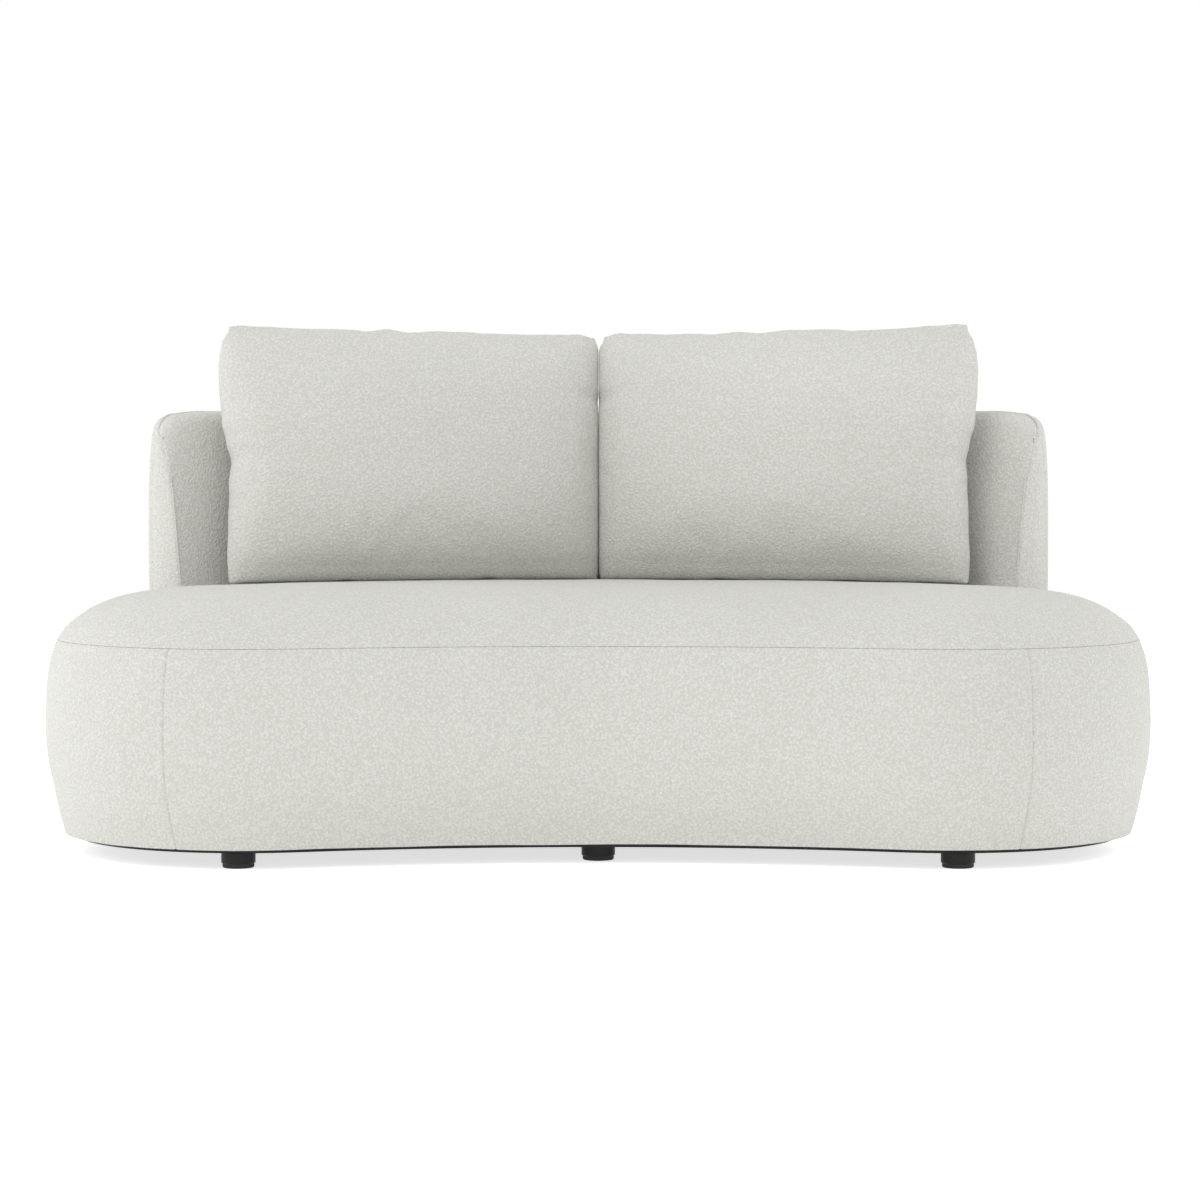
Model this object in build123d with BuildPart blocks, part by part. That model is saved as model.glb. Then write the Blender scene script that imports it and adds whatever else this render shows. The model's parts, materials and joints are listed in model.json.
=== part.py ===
from build123d import *
from collections import namedtuple
import math
import os

os.makedirs("parts", exist_ok=True)

# A curved two-seat sofa, in millimetres. It faces -Y, stands on z = 0, and its plan is centred on the origin.

# Seat block
seat_width = 1950
seat_depth = 1000
seat_height = 455
end_radius = 385
front_hollow = 88
hem_height = 34
seam_height = 367
hem_inset = 48
seam_inset = 22
upright_seam_angle = 71.5
crown_run = 233
cover_thickness = 3
wadding_thickness = 20

# The side of the seat from the hem to the seam, then the crown from the seam to the flat top
side_level_shares = (0, 0.123, 0.2, 0.36, 0.53, 0.8, 1)
hem_inset_shares = (1, 0.46, 0.27, 0.06, 0, 0, 0)
seam_inset_shares = (0, 0, 0, 0, 0, 0.19, 1)
crown_level_shares = (0, 0.30, 0.60, 0.89, 1)
crown_run_shares = (0, 0.10, 0.275, 0.64, 1)
crown_inward_shares = (1, 0.8, 0.5, 0.2, 0)
crown_down_shares = (0, 0.6, 0.85, 0.98, 1)

# Seat frame
hem_turn = 17
plinth_gap = 2
plinth_thickness = 10
board_thickness = 18
rail_thickness = 12
rail_height = 185
base_ring_width = 140
deck_ring_width = 150
rib_thickness = 22
rib_place_shares = (-0.68, -0.32, 0.32, 0.68)
strap_width = 60
strap_thickness = 2
strap_bearing = 35
long_strap_pitch = 95
cross_strap_pitch = 110
riser_height = 91

# Feet
foot_diameter = 57
foot_edge = 1.5
glide_diameter = 53
glide_height = 7
end_foot_inset = 105
end_foot_shift = 8
middle_foot_inset = 126
foot_block_size = 70
foot_block_height = 35
bolt_diameter = 8
bolt_hole = 10
foot_bolt_depth = 14
tee_flange_diameter = 22
tee_flange_thickness = 1.5
tee_barrel_length = 10

# Back
back_height = 765
back_inset = 19.7
back_thickness = 137
back_end_inset = 6.5
back_rake = 8
back_corner_radius = 40
back_straight_height = 620
back_top_ease = 5
back_top_crown = 36
back_gap = 1
cavity_front = 68
cavity_rear = 13
cavity_end = 36
cavity_top = 50
back_board_thickness = 9
post_width = 45
post_count = 5
back_bolt_inset = 16
bolt_head_diameter = 13
bolt_head_height = 8

# Loose back cushions
cushion_width = 712
cushion_height = 474
cushion_front = 92
cushion_rear = 82
cushion_turn_share = 0.9187
cushion_lean = 9
cushion_back_gap = 75.3
cushion_gap = 6
rest_gap = 0.3
cushion_cover_thickness = 2.5
cushion_level_shares = (-0.02, 0.07, 0.22, 0.45, 0.7, 0.87, 0.96, 1)
cushion_width_shares = (0.955, 0.985, 0.972, 0.962, 0.968, 0.985, 0.99, 0.955)
cushion_depth_shares = (0.42, 0.7, 0.94, 1, 0.9, 0.64, 0.36, 0.06)
front_edge_shares = (0.91, 0.46)
front_shoulder_shares = (0.66, 0.83)
rear_edge_shares = (0.9, 0.6)
rear_shoulder_share = 0.6

# Zips in the rear panels of the cushions
zip_length = 340
zip_level = 78
tape_width = 26
tape_thickness = 0.8
coil_width = 5
coil_thickness = 1.2
slider_length = 11
slider_width = 9
slider_thickness = 2
slider_end = 20
bridge_length = 7
bridge_height = 4
bridge_thickness = 1.4
pull_length = 25
pull_width = 7
pull_thickness = 1.2
pull_eye = 3.4
pull_pin_diameter = 2

overrun = 5

# Plan of the seat: four tangent arcs, the rear, the two ends and the hollow front
end_x = seat_width / 2 - end_radius
end_y = end_radius - seat_depth / 2
rear_y = seat_depth / 2
hollow_y = front_hollow - seat_depth / 2
rear_radius = (end_x**2 + (rear_y - end_y) ** 2 - end_radius**2) / (2 * (rear_y - end_y - end_radius))
rear_centre_y = rear_y - rear_radius
hollow_radius = (end_x**2 + (end_y - hollow_y) ** 2 - end_radius**2) / (2 * (end_radius - end_y + hollow_y))
hollow_centre_y = hollow_y - hollow_radius
rear_join = math.degrees(math.atan2(end_y - rear_centre_y, end_x))
hollow_join = math.degrees(math.atan2(end_y - hollow_centre_y, end_x))
end_span = 180 - hollow_join + rear_join

# The back stands on the rear arc and ends just short of where the seat's ends begin
back_outer_radius = rear_radius - back_inset
back_inner_radius = back_outer_radius - back_thickness
back_half_angle = 90 - rear_join - math.degrees(back_end_inset / rear_radius)

Arc = namedtuple("Arc", "name centre radius start span inward")
rear_arc = Arc("rear", (0, rear_centre_y), rear_radius, rear_join, 180 - 2 * rear_join, -1)
right_arc = Arc("right", (end_x, end_y), end_radius, hollow_join - 180, end_span, -1)
left_arc = Arc("left", (-end_x, end_y), end_radius, 180 - rear_join, end_span, -1)
front_arc = Arc("front", (0, hollow_centre_y), hollow_radius, hollow_join, 180 - 2 * hollow_join, 1)
arcs = (rear_arc, left_arc, front_arc, right_arc)

# The upright seams of the covers lie on the ends' arcs, so the front cover runs a little way round each end
end_cover_span = rear_join + upright_seam_angle
corner_span = end_span - end_cover_span
cover_arcs = {
    "rear": (rear_arc,),
    "left": (left_arc._replace(span=end_cover_span),),
    "front": (left_arc._replace(start=180 + upright_seam_angle, span=corner_span), front_arc,
              right_arc._replace(span=corner_span)),
    "right": (right_arc._replace(start=-upright_seam_angle, span=end_cover_span),),
}
back_arc = Arc("back", (0, rear_centre_y), rear_radius, 90 - back_half_angle, 2 * back_half_angle, -1)

# Levels of the seat frame
base_bottom = hem_height + cover_thickness
base_top = base_bottom + board_thickness
plinth_bottom = base_bottom - plinth_thickness
deck_bottom = base_top + rail_height
deck_top = deck_bottom + board_thickness
foam_base = deck_top + 2 * strap_thickness
ledge_bottom = deck_top + riser_height
ledge_top = ledge_bottom + board_thickness

# Insets of the seat frame from the plan's outline
board_inset = hem_inset + cover_thickness
rail_inset = board_inset + rail_thickness
plinth_inset = hem_inset + hem_turn + plinth_gap + cover_thickness
deck_inner_inset = board_inset + deck_ring_width
strap_inset = deck_inner_inset - strap_bearing
plateau_inset = seam_inset + crown_run

# Radii of the back, all about the centre of the rear arc
cavity_inner_radius = back_inner_radius + cavity_front
cavity_outer_radius = back_outer_radius - cavity_rear
board_inner_radius = cavity_outer_radius - back_board_thickness
cavity_half_angle = back_half_angle - math.degrees(cavity_end / back_outer_radius)
cavity_top_level = back_height - cavity_top
riser_outer_radius = rear_radius - board_inset
riser_inner_radius = riser_outer_radius - rail_thickness
back_lean = math.tan(math.radians(back_rake))
back_round_start = back_height - back_top_crown
back_top_outer = back_outer_radius - back_top_ease
back_top_inner = back_inner_radius + (back_round_start - ledge_top) * back_lean
top_seam_radius = (back_top_outer + back_top_inner) / 2


def write(piece, name):
    piece.part.label = name
    export_step(piece.part, f"parts/{name}.step")


def radial_plane(arc):
    turn = math.radians(arc.start)
    return Plane(
        origin=(*arc.centre, 0),
        x_dir=(math.cos(turn), math.sin(turn), 0),
        z_dir=(math.sin(turn), -math.cos(turn), 0),
    )


def spin(arc):
    revolve(axis=Axis((*arc.centre, 0), (0, 0, 1)), revolution_arc=arc.span)


def spot(arc, inset, level):
    return (arc.radius + arc.inward * inset, level)


def side_spots(arc, skin):
    height = seam_height - hem_height
    spots = []
    for level, low, high in zip(side_level_shares, hem_inset_shares, seam_inset_shares):
        spots.append(spot(arc, low * hem_inset + high * seam_inset + skin, hem_height + level * height))
    spots[0] = spot(arc, hem_inset + skin, hem_height + skin)
    return spots


def crown_spots(arc, skin):
    height = seat_height - seam_height
    spots = []
    for level, run, inward, down in zip(
        crown_level_shares, crown_run_shares, crown_inward_shares, crown_down_shares
    ):
        inset = min(seam_inset + run * crown_run + inward * skin, plateau_inset)
        spots.append(spot(arc, inset, seam_height + level * height - down * skin))
    return spots


def draw_chain(spots):
    for first in range(0, len(spots) - 2, 2):
        ThreePointArc(spots[first], spots[first + 1], spots[first + 2])


def draw_outline(inset):
    for arc in arcs:
        CenterArc(arc.centre, arc.radius + arc.inward * inset, arc.start, arc.span)


def polar(radius, angle):
    turn = math.radians(90 - angle)
    return (radius * math.cos(turn), rear_centre_y + radius * math.sin(turn))


def draw_sector(inner, outer, low_angle, high_angle):
    middle = (low_angle + high_angle) / 2
    ThreePointArc(polar(outer, low_angle), polar(outer, middle), polar(outer, high_angle))
    Line(polar(outer, high_angle), polar(inner, high_angle))
    ThreePointArc(polar(inner, high_angle), polar(inner, middle), polar(inner, low_angle))
    Line(polar(inner, low_angle), polar(outer, low_angle))


def make_board(outer_inset, inner_inset, bottom, thickness, holes=()):
    with BuildPart() as board:
        with BuildSketch(Plane.XY.offset(bottom)):
            with BuildLine():
                draw_outline(outer_inset)
            make_face()
            if inner_inset:
                with BuildLine():
                    draw_outline(inner_inset)
                make_face(mode=Mode.SUBTRACT)
            if holes:
                with Locations(*holes):
                    Circle(bolt_hole / 2, mode=Mode.SUBTRACT)
        extrude(amount=thickness)
    return board


def make_sector(inner, outer, bottom, top, holes=()):
    with BuildPart() as piece:
        with BuildSketch(Plane.XY.offset(bottom)):
            with BuildLine():
                draw_sector(inner, outer, -cavity_half_angle, cavity_half_angle)
            make_face()
            if holes:
                with Locations(*holes):
                    Circle(bolt_hole / 2, mode=Mode.SUBTRACT)
        extrude(amount=top - bottom)
    return piece


def make_side_panel(stretches):
    with BuildPart() as panel:
        for arc in stretches:
            with BuildSketch(radial_plane(arc)):
                with BuildLine():
                    outer = side_spots(arc, 0)
                    inner = side_spots(arc, cover_thickness)
                    draw_chain(outer)
                    Line(outer[-1], inner[-1])
                    draw_chain(inner)
                    Polyline(inner[0], spot(arc, hem_inset + hem_turn, base_bottom),
                             spot(arc, hem_inset + hem_turn, hem_height), outer[0])
                make_face()
            spin(arc)
    return panel


def make_side_block(arc, bottom, top):
    with BuildPart() as block:
        with BuildSketch(radial_plane(arc)):
            with BuildLine():
                outer = side_spots(arc, cover_thickness)
                draw_chain(outer)
                Polyline(outer[-1], spot(arc, board_inset, seam_height), outer[0])
            make_face()
        spin(arc)
        split(bisect_by=Plane.XY.offset(bottom), keep=Keep.TOP)
        split(bisect_by=Plane.XY.offset(top), keep=Keep.BOTTOM)
    return block


def make_crown_layer(outer_skin, inner_skin):
    with BuildPart() as layer:
        for arc in arcs:
            with BuildSketch(radial_plane(arc)):
                with BuildLine():
                    outer = crown_spots(arc, outer_skin)
                    inner = crown_spots(arc, inner_skin)
                    draw_chain(outer)
                    Line(outer[-1], inner[-1])
                    draw_chain(inner)
                    Line(inner[0], outer[0])
                make_face()
            spin(arc)
        with BuildSketch(Plane.XY.offset(seat_height - inner_skin)):
            with BuildLine():
                draw_outline(plateau_inset)
            make_face()
        extrude(amount=inner_skin - outer_skin)
        add(back_notch.part, mode=Mode.SUBTRACT)
    return layer


def back_spots(skin):
    """The back's section, from the outer foot over the rounded top to the inner foot."""
    crown = back_top_crown - skin
    outer = back_top_outer - skin
    inner = back_top_inner + skin
    slant = math.sqrt(0.5)
    return [
        (back_outer_radius - skin, ledge_top),
        (back_outer_radius - skin, back_straight_height),
        (outer, back_round_start),
        (outer - crown * (1 - slant), back_round_start + crown * slant),
        (outer - crown, back_height - skin),
        (inner + crown, back_height - skin),
        (inner + crown * (1 - slant), back_round_start + crown * slant),
        (inner, back_round_start),
        (back_inner_radius + skin, ledge_top),
    ]


def make_back_plan(skin):
    """The space between the back's two ends, with its rounded outer corners."""
    end = back_half_angle - math.degrees(skin / back_outer_radius)
    corner = back_corner_radius - skin
    outer = back_outer_radius - skin
    corner_end = end - math.degrees(corner / outer)
    corner_middle = end - math.degrees(corner / outer) * (1 - math.sqrt(0.5))
    corner_radius = outer - corner * (1 - math.sqrt(0.5))
    with BuildPart() as plan:
        with BuildSketch(Plane.XY.offset(ledge_top)):
            with BuildLine():
                ThreePointArc(polar(outer, -corner_end), polar(outer, 0), polar(outer, corner_end))
                Line(polar(back_inner_radius - overrun, end), polar(outer - corner, end))
                ThreePointArc(polar(outer, corner_end), polar(corner_radius, corner_middle),
                              polar(outer - corner, end))
                ThreePointArc(polar(back_inner_radius - overrun, end),
                              polar(back_inner_radius - overrun, 0),
                              polar(back_inner_radius - overrun, -end))
                Line(polar(back_inner_radius - overrun, -end), polar(outer - corner, -end))
                ThreePointArc(polar(outer, -corner_end), polar(corner_radius, -corner_middle),
                              polar(outer - corner, -end))
            make_face()
        extrude(amount=back_height - ledge_top + overrun)
    return plan


def make_back_solid(skin):
    spots = back_spots(skin)
    with BuildPart() as solid:
        with BuildSketch(radial_plane(back_arc)):
            with BuildLine():
                Polyline(*spots[:3])
                ThreePointArc(*spots[2:5])
                Line(spots[4], spots[5])
                ThreePointArc(*spots[5:8])
                Polyline(spots[7], spots[8], spots[0])
            make_face()
        spin(back_arc)
        add(make_back_plan(skin).part, mode=Mode.INTERSECT)
    return solid


def end_seam_plane(side):
    """The plane of an end's seam, from its crisp inner corner to the start of its rounded outer corner."""
    inner_turn = back_half_angle - math.degrees(cover_thickness / back_inner_radius)
    outer_turn = back_half_angle - math.degrees(back_corner_radius / back_outer_radius)
    inner = polar(back_inner_radius, side * inner_turn)
    outer = polar(back_outer_radius, side * outer_turn)
    along = (outer[0] - inner[0], outer[1] - inner[1])
    return Plane(origin=(*inner, 0), x_dir=(0, 0, 1), z_dir=(side * along[1], -side * along[0], 0))


# Space that the back takes out of the seat's crown
notch_top = seat_height + overrun
notch_angle = back_half_angle + math.degrees(back_gap / back_outer_radius)
notch_arc = Arc("notch", (0, rear_centre_y), rear_radius, 90 - notch_angle, 2 * notch_angle, -1)
with BuildPart() as back_notch:
    with BuildSketch(radial_plane(notch_arc)):
        with BuildLine():
            Polyline(
                (back_inner_radius - back_gap, deck_top),
                (back_inner_radius - back_gap, ledge_top),
                (back_inner_radius - back_gap + (notch_top - ledge_top) * back_lean, notch_top),
                (rear_radius + overrun, notch_top),
                (rear_radius + overrun, deck_top),
                close=True,
            )
        make_face()
    spin(notch_arc)

# Feet, their glides, bolts, blocks and tee nuts
end_reach = end_radius - end_foot_inset
foot_spots = {
    "front_left": (-end_x - end_foot_shift, end_y - end_reach),
    "front_middle": (0, hollow_y + middle_foot_inset),
    "front_right": (end_x + end_foot_shift, end_y - end_reach),
    "rear_left": (-end_x - end_foot_shift, end_y + end_reach),
    "rear_middle": (0, rear_y - middle_foot_inset),
    "rear_right": (end_x + end_foot_shift, end_y + end_reach),
}
block_top = base_top + foot_block_height
bolt_bottom = plinth_bottom - foot_bolt_depth

for place, centre in foot_spots.items():
    with BuildPart() as foot:
        with BuildSketch(Plane.XY.offset(glide_height)):
            with Locations(centre):
                Circle(foot_diameter / 2)
        extrude(amount=plinth_bottom - glide_height)
        chamfer(foot.edges().filter_by(GeomType.CIRCLE), foot_edge)
        with BuildSketch(Plane.XY.offset(bolt_bottom)):
            with Locations(centre):
                Circle(bolt_diameter / 2)
        extrude(amount=plinth_bottom - bolt_bottom, mode=Mode.SUBTRACT)
    write(foot, f"foot_{place}")

with BuildPart() as foot_glides:
    with BuildSketch():
        with Locations(*foot_spots.values()):
            Circle(glide_diameter / 2)
    extrude(amount=glide_height)
    chamfer(foot_glides.faces().group_by(Axis.Z)[0].edges(), foot_edge)
write(foot_glides, "foot_glides")

with BuildPart() as foot_bolts:
    with BuildSketch(Plane.XY.offset(bolt_bottom)):
        with Locations(*foot_spots.values()):
            Circle(bolt_diameter / 2)
    extrude(amount=block_top + tee_flange_thickness - bolt_bottom)
write(foot_bolts, "foot_bolts")

with BuildPart() as tee_nuts:
    with BuildSketch(Plane.XY.offset(block_top)):
        with Locations(*foot_spots.values()):
            Circle(tee_flange_diameter / 2)
    extrude(amount=tee_flange_thickness)
    with BuildSketch(Plane.XY.offset(block_top - tee_barrel_length)):
        with Locations(*foot_spots.values()):
            Circle(bolt_hole / 2)
    extrude(amount=tee_barrel_length)
    with BuildSketch(Plane.XY.offset(block_top - tee_barrel_length)):
        with Locations(*foot_spots.values()):
            Circle(bolt_diameter / 2)
    extrude(amount=tee_barrel_length + tee_flange_thickness, mode=Mode.SUBTRACT)
write(tee_nuts, "tee_nuts")

with BuildPart() as foot_blocks:
    with BuildSketch(Plane.XY.offset(base_top)):
        with Locations(*foot_spots.values()):
            Rectangle(foot_block_size, foot_block_size)
            Circle(bolt_hole / 2, mode=Mode.SUBTRACT)
    extrude(amount=foot_block_height)
write(foot_blocks, "foot_blocks")


# Boards and rails of the seat frame
foot_holes = tuple(foot_spots.values())
plinth_board = make_board(plinth_inset, 0, plinth_bottom, plinth_thickness, foot_holes)
write(plinth_board, "plinth_board")

base_board = make_board(board_inset, board_inset + base_ring_width, base_bottom, board_thickness, foot_holes)
write(base_board, "base_board")

deck_board = make_board(board_inset, deck_inner_inset, deck_bottom, board_thickness)
write(deck_board, "deck_board")

for arc in arcs:
    with BuildPart() as rail:
        with BuildSketch(radial_plane(arc)):
            with BuildLine():
                Polyline(spot(arc, board_inset, base_top), spot(arc, rail_inset, base_top),
                         spot(arc, rail_inset, deck_bottom), spot(arc, board_inset, deck_bottom), close=True)
            make_face()
        spin(arc)
    write(rail, f"{arc.name}_rail")

for number, share in enumerate(rib_place_shares, 1):
    with BuildPart() as rib:
        with BuildSketch(Plane.XY.offset(base_top)):
            with BuildLine():
                draw_outline(rail_inset)
            make_face()
        extrude(amount=rail_height)
        with BuildSketch(Plane.XY.offset(base_top)):
            with Locations((share * end_x, 0)):
                Rectangle(rib_thickness, seat_depth)
        extrude(amount=rail_height, mode=Mode.INTERSECT)
    write(rib, f"rib_{number}")

# Elastic webbing over the deck's opening, long straps on the cross straps
half_run = seat_width / 2 - plateau_inset
cross_count = 1 + 2 * int(half_run / cross_strap_pitch)
with BuildPart() as webbing_cross:
    with BuildSketch(Plane.XY.offset(deck_top)):
        with BuildLine():
            draw_outline(strap_inset)
        make_face()
    extrude(amount=strap_thickness)
    with BuildSketch(Plane.XY.offset(deck_top)):
        with GridLocations(cross_strap_pitch, 0, cross_count, 1):
            Rectangle(strap_width, seat_depth)
    extrude(amount=strap_thickness, mode=Mode.INTERSECT)
write(webbing_cross, "webbing_cross")

long_count = int(seat_depth / 2 / long_strap_pitch)
with BuildPart() as webbing_long:
    with BuildSketch(Plane.XY.offset(deck_top + strap_thickness)):
        with BuildLine():
            draw_outline(strap_inset)
        make_face()
    extrude(amount=strap_thickness)
    with BuildSketch(Plane.XY.offset(deck_top + strap_thickness)):
        with Locations((0, (hollow_y + rear_y) / 2)):
            with GridLocations(0, long_strap_pitch, 1, long_count):
                Rectangle(seat_width, strap_width)
    extrude(amount=strap_thickness, mode=Mode.INTERSECT)
write(webbing_long, "webbing_long")

# Riser that carries the back: a bent board, posts and a ledge
post_step = 2 * (cavity_half_angle - math.degrees(post_width / cavity_outer_radius)) / (post_count - 1)
post_angles = [post_step * (number - (post_count - 1) / 2) for number in range(post_count)]
bolt_angles = [(low + high) / 2 for low, high in zip(post_angles, post_angles[1:])]
post_half_angle = math.degrees(post_width / 2 / cavity_inner_radius)
bolt_spots = [polar(cavity_inner_radius + back_bolt_inset, angle) for angle in bolt_angles]

back_riser = make_sector(riser_inner_radius, riser_outer_radius, deck_top, ledge_bottom)
write(back_riser, "back_riser")

with BuildPart() as riser_posts:
    with BuildSketch(Plane.XY.offset(deck_top)):
        for angle in post_angles:
            with BuildLine():
                draw_sector(back_inner_radius, riser_inner_radius,
                            angle - post_half_angle, angle + post_half_angle)
            make_face()
    extrude(amount=riser_height)
write(riser_posts, "riser_posts")

back_ledge = make_sector(back_inner_radius, riser_outer_radius, ledge_bottom, ledge_top, bolt_spots)
write(back_ledge, "back_ledge")

tee_top = ledge_top + board_thickness
back_lower_rail = make_sector(cavity_inner_radius, board_inner_radius, ledge_top, tee_top, bolt_spots)
write(back_lower_rail, "back_lower_rail")

with BuildPart() as back_bolts:
    with BuildSketch(Plane.XY.offset(ledge_bottom - bolt_head_height)):
        with Locations(*bolt_spots):
            RegularPolygon(bolt_head_diameter / 2, 6, major_radius=False)
    extrude(amount=bolt_head_height)
    with BuildSketch(Plane.XY.offset(ledge_bottom)):
        with Locations(*bolt_spots):
            Circle(bolt_diameter / 2)
    extrude(amount=2 * board_thickness + tee_flange_thickness)
write(back_bolts, "back_bolts")

with BuildPart() as back_tee_nuts:
    with BuildSketch(Plane.XY.offset(tee_top)):
        with Locations(*bolt_spots):
            Circle(tee_flange_diameter / 2)
    extrude(amount=tee_flange_thickness)
    with BuildSketch(Plane.XY.offset(tee_top - tee_barrel_length)):
        with Locations(*bolt_spots):
            Circle(bolt_hole / 2)
    extrude(amount=tee_barrel_length)
    with BuildSketch(Plane.XY.offset(tee_top - tee_barrel_length)):
        with Locations(*bolt_spots):
            Circle(bolt_diameter / 2)
    extrude(amount=tee_barrel_length + tee_flange_thickness, mode=Mode.SUBTRACT)
write(back_tee_nuts, "back_tee_nuts")

# Padding of the seat
with BuildPart() as side_foam:
    for arc in arcs:
        add(make_side_block(arc, base_bottom, foam_base).part)
write(side_foam, "side_foam")

with BuildPart() as rear_foam:
    add(make_side_block(rear_arc, foam_base, seam_height).part)
    with BuildSketch(Plane.XY.offset(foam_base)):
        with BuildLine():
            draw_sector(riser_inner_radius, rear_radius + overrun, -cavity_half_angle, cavity_half_angle)
        make_face()
    extrude(amount=seam_height - foam_base, mode=Mode.INTERSECT)
write(rear_foam, "rear_foam")

soft_skin = cover_thickness + wadding_thickness
with BuildPart() as seat_foam:
    for arc in arcs:
        with BuildSketch(radial_plane(arc)):
            with BuildLine():
                lower = side_spots(arc, cover_thickness)
                upper = crown_spots(arc, soft_skin)
                draw_chain(lower)
                Line(lower[-1], upper[0])
                draw_chain(upper)
                Polyline(upper[-1], spot(arc, plateau_inset, hem_height), lower[0])
            make_face()
        spin(arc)
    with BuildSketch(Plane.XY.offset(hem_height)):
        with BuildLine():
            draw_outline(plateau_inset)
        make_face()
    extrude(amount=seat_height - soft_skin - hem_height)
    split(bisect_by=Plane.XY.offset(foam_base), keep=Keep.TOP)
    add(back_notch.part, mode=Mode.SUBTRACT)
write(seat_foam, "seat_foam")

seat_wadding = make_crown_layer(cover_thickness, soft_skin)
write(seat_wadding, "seat_wadding")

# Covers of the seat
seat_top_cover = make_crown_layer(0, cover_thickness)
write(seat_top_cover, "seat_top_cover")

for name, stretches in cover_arcs.items():
    write(make_side_panel(stretches), f"seat_{name}_cover")

# Frame of the back
with BuildPart() as back_posts:
    with BuildSketch(Plane.XY.offset(ledge_top + board_thickness)):
        for angle in post_angles:
            with BuildLine():
                draw_sector(cavity_inner_radius, board_inner_radius,
                            angle - post_half_angle, angle + post_half_angle)
            make_face()
    extrude(amount=cavity_top_level - ledge_top - 2 * board_thickness)
write(back_posts, "back_posts")

back_top_rail = make_sector(cavity_inner_radius, board_inner_radius,
                            cavity_top_level - board_thickness, cavity_top_level)
write(back_top_rail, "back_top_rail")

back_board = make_sector(board_inner_radius, cavity_outer_radius, ledge_top, cavity_top_level)
write(back_board, "back_board")

# Padding of the back
back_inside = make_back_solid(cover_thickness)
back_cavity = make_sector(cavity_inner_radius, cavity_outer_radius, ledge_top, cavity_top_level)
with BuildPart() as back_foam:
    add(back_inside.part)
    add(back_cavity.part, mode=Mode.SUBTRACT)
write(back_foam, "back_foam")

# Covers of the back: one over each end, and an inner and an outer one that meet along the top
with BuildPart() as back_skin:
    add(make_back_solid(0).part)
    add(back_inside.part, mode=Mode.SUBTRACT)

for name, side in (("left", -1), ("right", 1)):
    with BuildPart() as end_cover:
        add(back_skin.part)
        split(bisect_by=end_seam_plane(side), keep=Keep.TOP)
    write(end_cover, f"back_{name}_cover")

for name, mode in (("inner", Mode.INTERSECT), ("outer", Mode.SUBTRACT)):
    with BuildPart() as long_cover:
        add(back_skin.part)
        for side in (-1, 1):
            split(bisect_by=end_seam_plane(side), keep=Keep.BOTTOM)
        with BuildSketch(Plane.XY.offset(ledge_top)):
            with Locations((0, rear_centre_y)):
                Circle(top_seam_radius)
        extrude(amount=back_height - ledge_top + overrun, mode=mode)
    write(long_cover, f"back_{name}_cover")

# Loose cushions: a pad in a cover of two panels, with a zip low in the rear panel
cushion_inner_y = rear_centre_y + back_inner_radius - cushion_back_gap
cushion_yaw = cushion_turn_share * math.asin((cushion_width + cushion_gap) / 2 / back_inner_radius)
yaw_cos = math.cos(cushion_yaw)
yaw_sin = math.sin(cushion_yaw)
lean_cos = math.cos(math.radians(cushion_lean))
lean_sin = math.sin(math.radians(cushion_lean))
rest_level = seat_height + rest_gap


def cushion_plane(side, level):
    middle_x = side * (cushion_gap / 2 + cushion_width / 2 * yaw_cos)
    middle_y = cushion_inner_y - cushion_width / 2 * yaw_sin
    rear = (side * yaw_sin, yaw_cos)
    return Plane(
        origin=(middle_x + level * lean_sin * rear[0], middle_y + level * lean_sin * rear[1],
                rest_level + level * lean_cos),
        x_dir=(yaw_cos, -side * yaw_sin, 0),
        z_dir=(lean_sin * rear[0], lean_sin * rear[1], lean_cos),
    )


def make_cushion(side, skin):
    with BuildPart() as form:
        for level_share, width_share, depth_share in zip(
            cushion_level_shares, cushion_width_shares, cushion_depth_shares
        ):
            level = level_share * (cushion_height - skin)
            half = width_share * cushion_width / 2 - skin
            front = -depth_share * (cushion_front - skin)
            rear = depth_share * (cushion_rear - skin)
            edge_x = front_edge_shares[0] * half
            shoulder_x = front_shoulder_shares[0] * half
            rear_edge_x = rear_edge_shares[0] * half
            flat_x = rear_shoulder_share * half
            shoulder = (shoulder_x, front_shoulder_shares[1] * front)
            with BuildSketch(cushion_plane(side, level)):
                with BuildLine():
                    ThreePointArc((-half, 0), (-edge_x, front_edge_shares[1] * front),
                                  (-shoulder[0], shoulder[1]))
                    ThreePointArc((-shoulder[0], shoulder[1]), (0, front), shoulder)
                    ThreePointArc(shoulder, (edge_x, front_edge_shares[1] * front), (half, 0))
                    ThreePointArc((half, 0), (rear_edge_x, rear_edge_shares[1] * rear), (flat_x, rear))
                    Line((flat_x, rear), (-flat_x, rear))
                    ThreePointArc((-flat_x, rear), (-rear_edge_x, rear_edge_shares[1] * rear), (-half, 0))
                make_face()
        loft()
        split(bisect_by=Plane.XY.offset(rest_level + max(skin, 0)), keep=Keep.TOP)
    return form


def middle_plane(side):
    section = cushion_plane(side, 0)
    return Plane(origin=section.origin, x_dir=section.x_dir, z_dir=section.y_dir)


def make_zip_layer(side, outer_skin, inner_skin, width, seat):
    with BuildPart() as layer:
        with BuildSketch(seat):
            Rectangle(zip_length, width)
        extrude(amount=zip_level / 2, both=True)
        add(make_cushion(side, outer_skin).part, mode=Mode.INTERSECT)
        add(make_cushion(side, inner_skin).part, mode=Mode.SUBTRACT)
    return layer


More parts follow.
